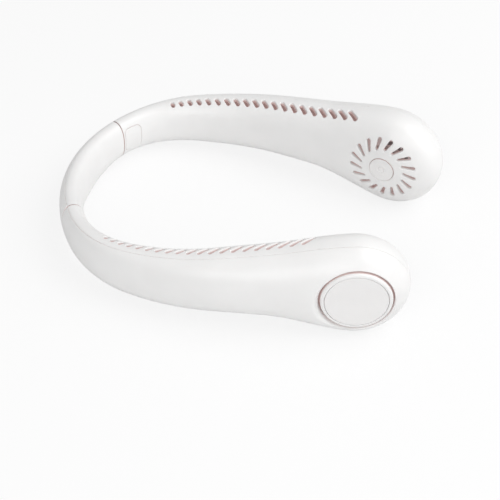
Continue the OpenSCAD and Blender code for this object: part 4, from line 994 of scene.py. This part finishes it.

# The duct floor and the scroll guide the air. They are moulded in a matt plastic
# of the same white, painted warmer and darker as painted shade inside the shells, with a faint painted glow.
dress(white_plastic("matt_guide_painted_shade_and_glow", (0.87, 0.74, 0.72), (0.85, 0.72, 0.70), 0.55, 0.4, 0.07),
      *both("duct_floor", "scroll"))
# The motor brackets are painted warmer and darker in the same way, as painted shade inside the head, with a
# faint painted glow
dress(white_plastic("matt_bracket_painted_shade_and_glow", (0.78, 0.66, 0.64), (0.75, 0.63, 0.61), 0.55, 0.5, 0.07),
      *both("motor_bracket"))


# The circuit boards have a pale lacquer with the faint relief of the tracks under it.
# The push switch on the one behind the button is moulded in black.
def lacquered_board(name, colour):
    paint, grow = new_paint(name)
    place = grow("ShaderNodeTexCoord")["Object"]
    tracks = grow("ShaderNodeTexVoronoi", {"Scale": 420, "Vector": place},
                  distance="CHEBYCHEV", feature="DISTANCE_TO_EDGE")["Distance"]
    relief = grow("ShaderNodeBump", {"Strength": 0.4, "Distance": 0.00004, "Height": tracks})
    lacquer = grow("ShaderNodeBsdfPrincipled", {
        "Roughness": 0.35, "Normal": relief["Normal"],
        "Base Color": ramp(grow, tracks, (0.05, [0.86 * c for c in colour]), (0.12, colour))})
    grow("ShaderNodeOutputMaterial", {"Surface": lacquer["BSDF"]})
    return paint


dress(lacquered_board("pale_circuit_board", (0.8, 0.74, 0.72)), *both("motor_board"), "switch_board",
      "charging_board")
dress(white_plastic("black_switch", (0.08, 0.08, 0.085), (0.06, 0.06, 0.065), 0.45, 0.3), "push_switch")


# Each motor has six copper coils, wound in two layers around the teeth of the
# stator from enamelled wire.
def soft_rectangle(grow, width, height, radius, count=2):
    """A rectangle with rounded corners, each of them in so many steps"""
    flat = grow("GeometryNodeCurvePrimitiveQuadrilateral", {"Width": width, "Height": height})
    return grow("GeometryNodeFilletCurve", {"Curve": flat[0], "Radius": radius, "Count": count,
                                            "Limit Radius": True}, mode="POLY")[0]


def round_axis(grow, reckon, count, one):
    """As many copies of one part as count, evenly turned about Z"""
    seats = grow("GeometryNodeMeshLine", {"Count": count, "Offset": (0, 0, 0)})
    share = reckon("DIVIDE", grow("GeometryNodeInputIndex")[0], count)
    turn = grow("ShaderNodeCombineXYZ", {"Z": reckon("MULTIPLY", share, 2 * np.pi)})
    return grow("GeometryNodeInstanceOnPoints", {"Points": seats[0], "Instance": one, "Rotation": turn[0]})[0]


def sealed(grow, parts, paint):
    """The end of a tree: its parts as one real mesh in one material"""
    joined = grow("GeometryNodeJoinGeometry", {"Geometry": parts})
    whole = grow("GeometryNodeRealizeInstances", {"Geometry": joined[0]})
    painted = grow("GeometryNodeSetMaterial", {"Geometry": whole[0], "Material": paint})
    grow("NodeGroupOutput", {0: painted[0]})


coil_tree, grow, reckon, given = geometry_tree("coils", {
    "Teeth": 6, "Turns": 6, "Wire": 0.0002, "Hub": 0.00452, "Length": 0.00258, "Width": 0.0016,
    "Height": 0.0037, "Layer": 0.00045, "Bend": 0.0005, "Enamel": "NodeSocketMaterial"})
profile = grow("GeometryNodeCurvePrimitiveCircle", {"Resolution": 6, "Radius": given["Wire"]})
start = grow("ShaderNodeCombineXYZ", {"X": given["Hub"]})
pitch = reckon("DIVIDE", given["Length"], reckon("SUBTRACT", given["Turns"], 1.0))
step = grow("ShaderNodeCombineXYZ", {"X": pitch})
row = grow("GeometryNodeMeshLine", {"Count": given["Turns"], "Start Location": start[0], "Offset": step[0]})
layers = []
for layer in (1.0, 3.0):
    outward = reckon("MULTIPLY", given["Layer"], layer)
    loop = soft_rectangle(grow, reckon("ADD", given["Height"], outward),
                          reckon("ADD", given["Width"], outward), given["Bend"], 3)
    turn = grow("GeometryNodeCurveToMesh", {"Curve": loop, "Profile Curve": profile[0]})
    upright = grow("GeometryNodeTransform", {"Geometry": turn[0], "Rotation": (0, np.pi / 2, 0)})
    layers.append(grow("GeometryNodeInstanceOnPoints", {"Points": row[0], "Instance": upright[0]})[0])
coil = grow("GeometryNodeJoinGeometry", {"Geometry": layers})
sealed(grow, [round_axis(grow, reckon, given["Teeth"], coil[0])], given["Enamel"])
enamel = turned_metal("copper_enamel", (0.72, 0.34, 0.16), 0.3, 700)


def on_head(w):
    """The place of a part at a distance outward along the axis of a head: X back, Y up, Z outward"""
    columns = (-head_forward, [0, 0, 1], head_outward, (head_centre + w * head_outward) * MM)
    return Matrix([*np.column_stack(columns).tolist(), [0, 0, 0, 1]])


bracket_thickness, motor_board_thickness, motor_gap, wheel_disc = 2.2, 0.8, 0.4, 1
bracket_low = seat_outward - bracket_thickness
rotor_high = bracket_low - motor_board_thickness - motor_gap
stator_middle = (rotor_high - wheel_disc) / 2 + motor_gap
for side in ("left", "right"):
    wound = grown("coils", coil_tree, {"Enamel": enamel})
    coils = finished(side + "_coils", wound, side, on_head(stator_middle))
    fit(coils, side + "_windings", side + "_arm")

# Small steel screws with a cross recess hold the brackets, the cover plates and
# the boards. One is made, and stands wherever an arm has a screw.
screw_tree, grow, reckon, given = geometry_tree("screws", {
    "Places": "NodeSocketGeometry", "Head radius": 0.0015, "Head height": 0.001, "Crown share": 0.82,
    "Shank radius": 0.00075, "Recess length": 0.0017, "Recess width": 0.00042, "Recess height": 0.0009,
    "Steel": "NodeSocketMaterial"})
head = grow("GeometryNodeMeshCone", {
    "Vertices": 32, "Radius Top": given["Head radius"], "Depth": given["Head height"],
    "Radius Bottom": reckon("MULTIPLY", given["Head radius"], given["Crown share"])})
bottom = reckon("MULTIPLY", given["Head height"], -1.0)
cut = raised(grow, head["Mesh"], bottom)
for x, y in (("Recess length", "Recess width"), ("Recess width", "Recess length")):
    size = grow("ShaderNodeCombineXYZ", {"X": given[x], "Y": given[y], "Z": given["Recess height"]})
    arm = raised(grow, grow("GeometryNodeMeshCube", {"Size": size[0]})["Mesh"], bottom)
    cut = grow("GeometryNodeMeshBoolean", {"Mesh 1": cut, "Mesh 2": [arm]}, operation="DIFFERENCE")[0]
shank = grow("GeometryNodeMeshCone", {
    "Vertices": 16, "Radius Top": given["Shank radius"], "Radius Bottom": given["Shank radius"], "Depth": MM})
long = grow("GeometryNodeInputNamedAttribute", {"Name": "shank"}, data_type="FLOAT")
stretch = grow("ShaderNodeCombineXYZ", {"X": 1.0, "Y": 1.0, "Z": long[0]})
axis = grow("GeometryNodeInputNamedAttribute", {"Name": "axis"}, data_type="FLOAT_VECTOR")
facing = grow("FunctionNodeAlignRotationToVector", {"Vector": axis[0]}, axis="Z")
placed = {"Points": given["Places"], "Rotation": facing[0]}
heads = grow("GeometryNodeInstanceOnPoints", {**placed, "Instance": cut})
shanks = grow("GeometryNodeInstanceOnPoints", {**placed, "Instance": shank["Mesh"], "Scale": stretch[0]})
sealed(grow, [heads[0], shanks[0]], given["Steel"])


def three_round_head(radius, first, w, axis, length):
    """Three screws at a radius about the axis of a head, the first one a third of a turn past an angle"""
    turns = np.radians(first + 120 * np.array([1, 2, 3]))
    return [(head_centre + w * head_outward - radius * np.cos(turn) * head_forward
             + radius * np.sin(turn) * np.array([0, 0, 1]), axis, length) for turn in turns]


bracket_screw_circle, board_screw_circle, board_rise = hole_radius + 1.7, 11, 6.6
charge_screw_reach, charge_drop, strap_drop = 9.1, 4.2, 2.5
bracket_shank, cover_shank, board_shank = 4.2, 4.3, 3.2
cover_spot, _, cover_outward = line_axes(cover_station)
charge_spot, charge_forward, charge_axis = line_axes(charge_station)
strap_depth = float(along(inward_depths, cover_station)) - wall - strap_drop
strap_middle = np.append(cover_spot, cover_middle) - strap_depth * cover_outward
charge_middle = np.append(charge_spot, wire_height - charge_drop) + charge_outward * charge_axis
arm_screws = three_round_head(bracket_screw_circle, 0, bracket_low, head_outward, bracket_shank)
arm_screws.append((strap_middle, cover_outward, cover_shank))
board_screws = three_round_head(board_screw_circle, 90, collar_foot + board_rise, -head_outward, board_shank)
charge_screws = [(charge_middle + x * charge_forward, charge_axis, board_shank)
                 for x in (-charge_screw_reach, charge_screw_reach)]
for side, own in (("left", board_screws), ("right", charge_screws)):
    places, axes, lengths = zip(*arm_screws + own)
    seats = bpy.data.meshes.new("seats")
    seats.from_pydata([tuple(place * MM) for place in places], [], [])
    seats.attributes.new("axis", "FLOAT_VECTOR", "POINT").data.foreach_set("vector", np.concatenate(axes))
    seats.attributes.new("shank", "FLOAT", "POINT").data.foreach_set("value", lengths)
    screws = grown("screws", screw_tree, {"Steel": bright_steel}, seats)
    fit(finished(side + "_screw_set", screws, side, smooth=30), side + "_screws", side + "_arm")

# The blower wheels draw air in from both sides. Each is one moulding: a disc
# pressed on the rotor cup, with swept blades on both faces held by thin rims.
wheel_tree, grow, reckon, given = geometry_tree("wheel", {
    "Blades": 18, "Radius": 0.0212, "Blade start": 0.015476, "Lean": float(np.radians(16)), "Sweep": 0.0007,
    "Blade thickness": 0.0008, "Inward": 0.0076, "Outward": 0.0078, "Disc": 0.001, "Rim": 0.0013,
    "Rotor": 0.0105, "Hub wall": 0.0009, "Hub share": 0.37, "Blade inset": 0.0003, "Blade trim": 0.0004,
    "Plastic": "NodeSocketMaterial"})


def halfway(one, other):
    return reckon("MULTIPLY", reckon("ADD", one, other), 0.5)


def rim(inner, outer, low, high):
    """A flat ring with rounded edges between two radii and two heights"""
    around = grow("GeometryNodeCurvePrimitiveCircle", {"Resolution": 96, "Radius": halfway(inner, outer)})
    profile = soft_rectangle(grow, reckon("SUBTRACT", outer, inner), reckon("SUBTRACT", high, low), 0.00025)
    flat = grow("GeometryNodeCurveToMesh", {"Curve": around[0], "Profile Curve": profile})
    return raised(grow, flat[0], halfway(low, high))


outward, radius, rotor = given["Outward"], given["Radius"], given["Rotor"]
disc_low = reckon("SUBTRACT", 0.0, given["Disc"])
blade_low = reckon("SUBTRACT", disc_low, given["Inward"])
rim_inner = reckon("SUBTRACT", radius, given["Rim"])
hub_outer, hub_high = reckon("ADD", rotor, given["Hub wall"]), reckon("MULTIPLY", outward, given["Hub share"])
rings = [rim(rotor, radius, disc_low, 0.0),
         rim(rotor, hub_outer, disc_low, hub_high),
         rim(rim_inner, radius, reckon("SUBTRACT", outward, given["Disc"]), outward),
         rim(rim_inner, radius, blade_low, reckon("ADD", blade_low, given["Disc"]))]
# A blade is a short arc seen along the axis, as tall as the wheel
blade_start, blade_end = given["Blade start"], reckon("SUBTRACT", radius, given["Blade inset"])
reach = reckon("SUBTRACT", blade_end, blade_start)
across = reckon("MULTIPLY", reach, reckon("TANGENT", given["Lean"]))
bow = reckon("SUBTRACT", reckon("MULTIPLY", across, 0.5), given["Sweep"])
start, middle, end = (grow("ShaderNodeCombineXYZ", {"X": x, "Y": y})[0] for x, y in (
    (blade_start, 0.0), (halfway(blade_end, blade_start), bow), (blade_end, across)))
swept = grow("GeometryNodeCurveQuadraticBezier", {
    "Resolution": 8, "Start": start, "Middle": middle, "End": end})
tall = reckon("SUBTRACT", reckon("SUBTRACT", outward, blade_low), given["Blade trim"])
section = soft_rectangle(grow, given["Blade thickness"], tall, 0.0003)
blade = grow("GeometryNodeCurveToMesh", {"Curve": swept[0], "Profile Curve": section, "Fill Caps": True})
blades = round_axis(grow, reckon, given["Blades"], raised(grow, blade[0], halfway(outward, blade_low)))
sealed(grow, [blades, *rings], given["Plastic"])
# The wheel's pale grey is painted warmer and darker as painted shade inside the head, and its emission is a
# painted glow
shaded_wheel_plastic = white_plastic("matt_wheel_painted_shade_and_glow", (0.74, 0.66, 0.65), (0.71, 0.63, 0.62), 0.5, 0.3, 0.2)
for side in ("left", "right"):
    wheel = grown("wheel", wheel_tree, {"Plastic": shaded_wheel_plastic})
    fit(finished(side + "_blower_wheel", wheel, side, on_head(0)), side + "_wheel", side + "_fan")


# A round cap stands in each intake hole, with a gap all round for the air. It is
# one moulding with a rounded edge and three legs pegged into the bracket, and a
# thin flat plate is let into its face.
def lathe(profile, steps):
    """A closed solid turned about Z from (radius, height) points that start and end on the axis"""
    turn = np.linspace(0, 2 * np.pi, steps + 1)[:-1]
    points, rows = [], []
    for r, w in profile:
        rows.append(range(len(points), len(points) + (steps if r > 0 else 1)))
        points += [(r * np.cos(t), r * np.sin(t), w) for t in turn] if r > 0 else [(0, 0, w)]
    faces = []
    for one, two in zip(rows, rows[1:]):
        for k in range(steps):
            j = (k + 1) % steps
            if len(one) == 1:
                faces.append((one[0], two[k], two[j]))
            elif len(two) == 1:
                faces.append((one[k], two[0], one[j]))
            else:
                faces.append((one[k], two[k], two[j], one[j]))
    return points, faces


def turned_piece(name, profiles, paint, side, behind=-np.inf):
    """Turned solids at places (x, y) about the axis of a head, as one piece, with the inside finish on what
    lies behind a height: a darker copy of the white, painted shade with a faint painted glow"""
    shape = bmesh.new()
    for (x, y), steps, profile in profiles:
        points, faces = lathe(profile, steps)
        vertices = [shape.verts.new(((px + x) * MM, (py + y) * MM, pz * MM)) for px, py, pz in points]
        for face in faces:
            shape.faces.new([vertices[k] for k in face])
    bmesh.ops.recalc_face_normals(shape, faces=shape.faces)
    mesh = bpy.data.meshes.new(name)
    shape.to_mesh(mesh)
    shape.free()
    mesh.materials.append(paint)
    # The second material paints shade and a faint glow on the faces below the given height
    mesh.materials.append(shaded_inside_plastic)
    for face in mesh.polygons:
        face.material_index = int(face.center.z < behind * MM)
    return finished(name, mesh, side, on_head(0), smooth=30)


def rounding(r, w, radius, start, end, steps):
    """Points of a rounded edge about (r, w), from one angle to another"""
    turns = np.radians(np.linspace(start, end, steps + 1))
    return [(r + radius * np.cos(t), w + radius * np.sin(t)) for t in turns]


cap_radius, cap_face, cap_edge, cap_floor = 21.2, 18.8, 1.8, 15.5
foot_inner, foot_low, foot_edge = 19.5, 14.6, 0.25
plate_radius, plate_foot, plate_edge = 18.7, cap_face - 1.7, 0.4
recess_radius, recess_edge = plate_radius + 0.25, 0.3
# From the axis along the underside, round the foot and the edge, and down into the recess for the plate
cap_profile = ([(0, cap_floor), (foot_inner - 0.4, cap_floor), (foot_inner - 0.1, foot_low + 0.3),
                (foot_inner, foot_low), (20.9, foot_low)]
               + rounding(cap_radius - foot_edge, foot_low + foot_edge, foot_edge, -90, 0, 3)
               + rounding(cap_radius - cap_edge, cap_face - cap_edge, cap_edge, 0, 90, 12)
               + rounding(recess_radius + recess_edge, cap_face - recess_edge, recess_edge, 90, 180, 4)
               + [(recess_radius, plate_foot + 0.02), (0, plate_foot)])
plate_profile = ([(0, plate_foot), (plate_radius, plate_foot)]
                 + rounding(plate_radius - plate_edge, cap_face - plate_edge, plate_edge, 0, 90, 5)
                 + [(plate_radius - 1.2, cap_face), (0, cap_face)])
leg_circle, peg_radius, leg_radius, leg_high, leg_edge = 6.5, 1, 1.8, 15.9, 0.1
legs = [(leg_circle * np.cos(t), leg_circle * np.sin(t)) for t in np.radians([60, 180, 300])]
leg_profile = [(0, bracket_low), (peg_radius - 0.2, bracket_low), (peg_radius, bracket_low + 0.2),
               (peg_radius, seat_outward), (leg_radius - leg_edge, seat_outward),
               (leg_radius, seat_outward + leg_edge), (leg_radius, leg_high), (0, leg_high)]
plate_plastic = white_plastic("satin_white_plate", (0.86, 0.85, 0.845), (0.84, 0.83, 0.825), 0.32, 0.1)
for side in ("left", "right"):
    # Below the plate's foot, the floor of the groove round the plate and the cap's underside and low edge
    # take the painted shade and glow of the inside finish
    cap = turned_piece(side + "_intake_cover", [((0, 0), 160, cap_profile)] + [
        (leg, 32, leg_profile) for leg in legs], shell_plastic, side, behind=plate_foot + 0.05)
    fit(cap, side + "_intake_cap", side + "_arm")
    plate = turned_piece(side + "_face_plate", [((0, 0), 160, plate_profile)], plate_plastic, side)
    fit(plate, side + "_cap_plate", side + "_arm")

# The power button in the middle of the left grille continues the skin of the
# head. A shallow ring marks it, and a flange behind the collar keeps it in.
ring_radius, ring_half, ring_depth = 2.1, 0.7, 0.5


def ringed(q, a):
    """The skin with the shallow ring on the button"""
    points, normals = skin(q, a)
    _, r, away = about_head(points)
    depth, slope = groove(r - ring_radius, ring_half, ring_depth)
    return points - depth[:, None] * normals, unit(normals - slope[:, None] * away)


button_plastic = white_plastic("satin_white_button", (0.87, 0.862, 0.857), (0.85, 0.842, 0.836), 0.34, 0.1)
button_rows = [head_circle(radius, False) for radius in np.linspace(1.2, 3.2, 11)]
button_thickness, button_step = 2.2, 0.8
button = piece("power_button_cap", [moulding(
    lambda o: head_circle(button_radius - o, False), [], np.pi, button_thickness, button_step,
    ringed, more=button_rows)], button_plastic)
skirt_low, skirt_radius, skirt_edge = -16.9, 7.75, 0.15
flange_low, flange_high, flange_radius, flange_edge = -14.05, -13.25, 8.9, 0.15
skirt_profile = ([(0, skirt_low), (skirt_radius - skirt_edge, skirt_low),
                  (skirt_radius, skirt_low + skirt_edge), (skirt_radius, flange_low), (8.8, flange_low)]
                 + rounding(flange_radius - flange_edge, flange_low + flange_edge, flange_edge, -90, 0, 2)
                 + rounding(flange_radius - flange_edge, flange_high - flange_edge, flange_edge, 0, 90, 2)
                 + [(0, flange_high)])
flange = turned_piece("power_button_flange", [((0, 0), 96, skirt_profile)], button_plastic, "left")
for made in (button, flange):
    fit(made, "power_button", "button")
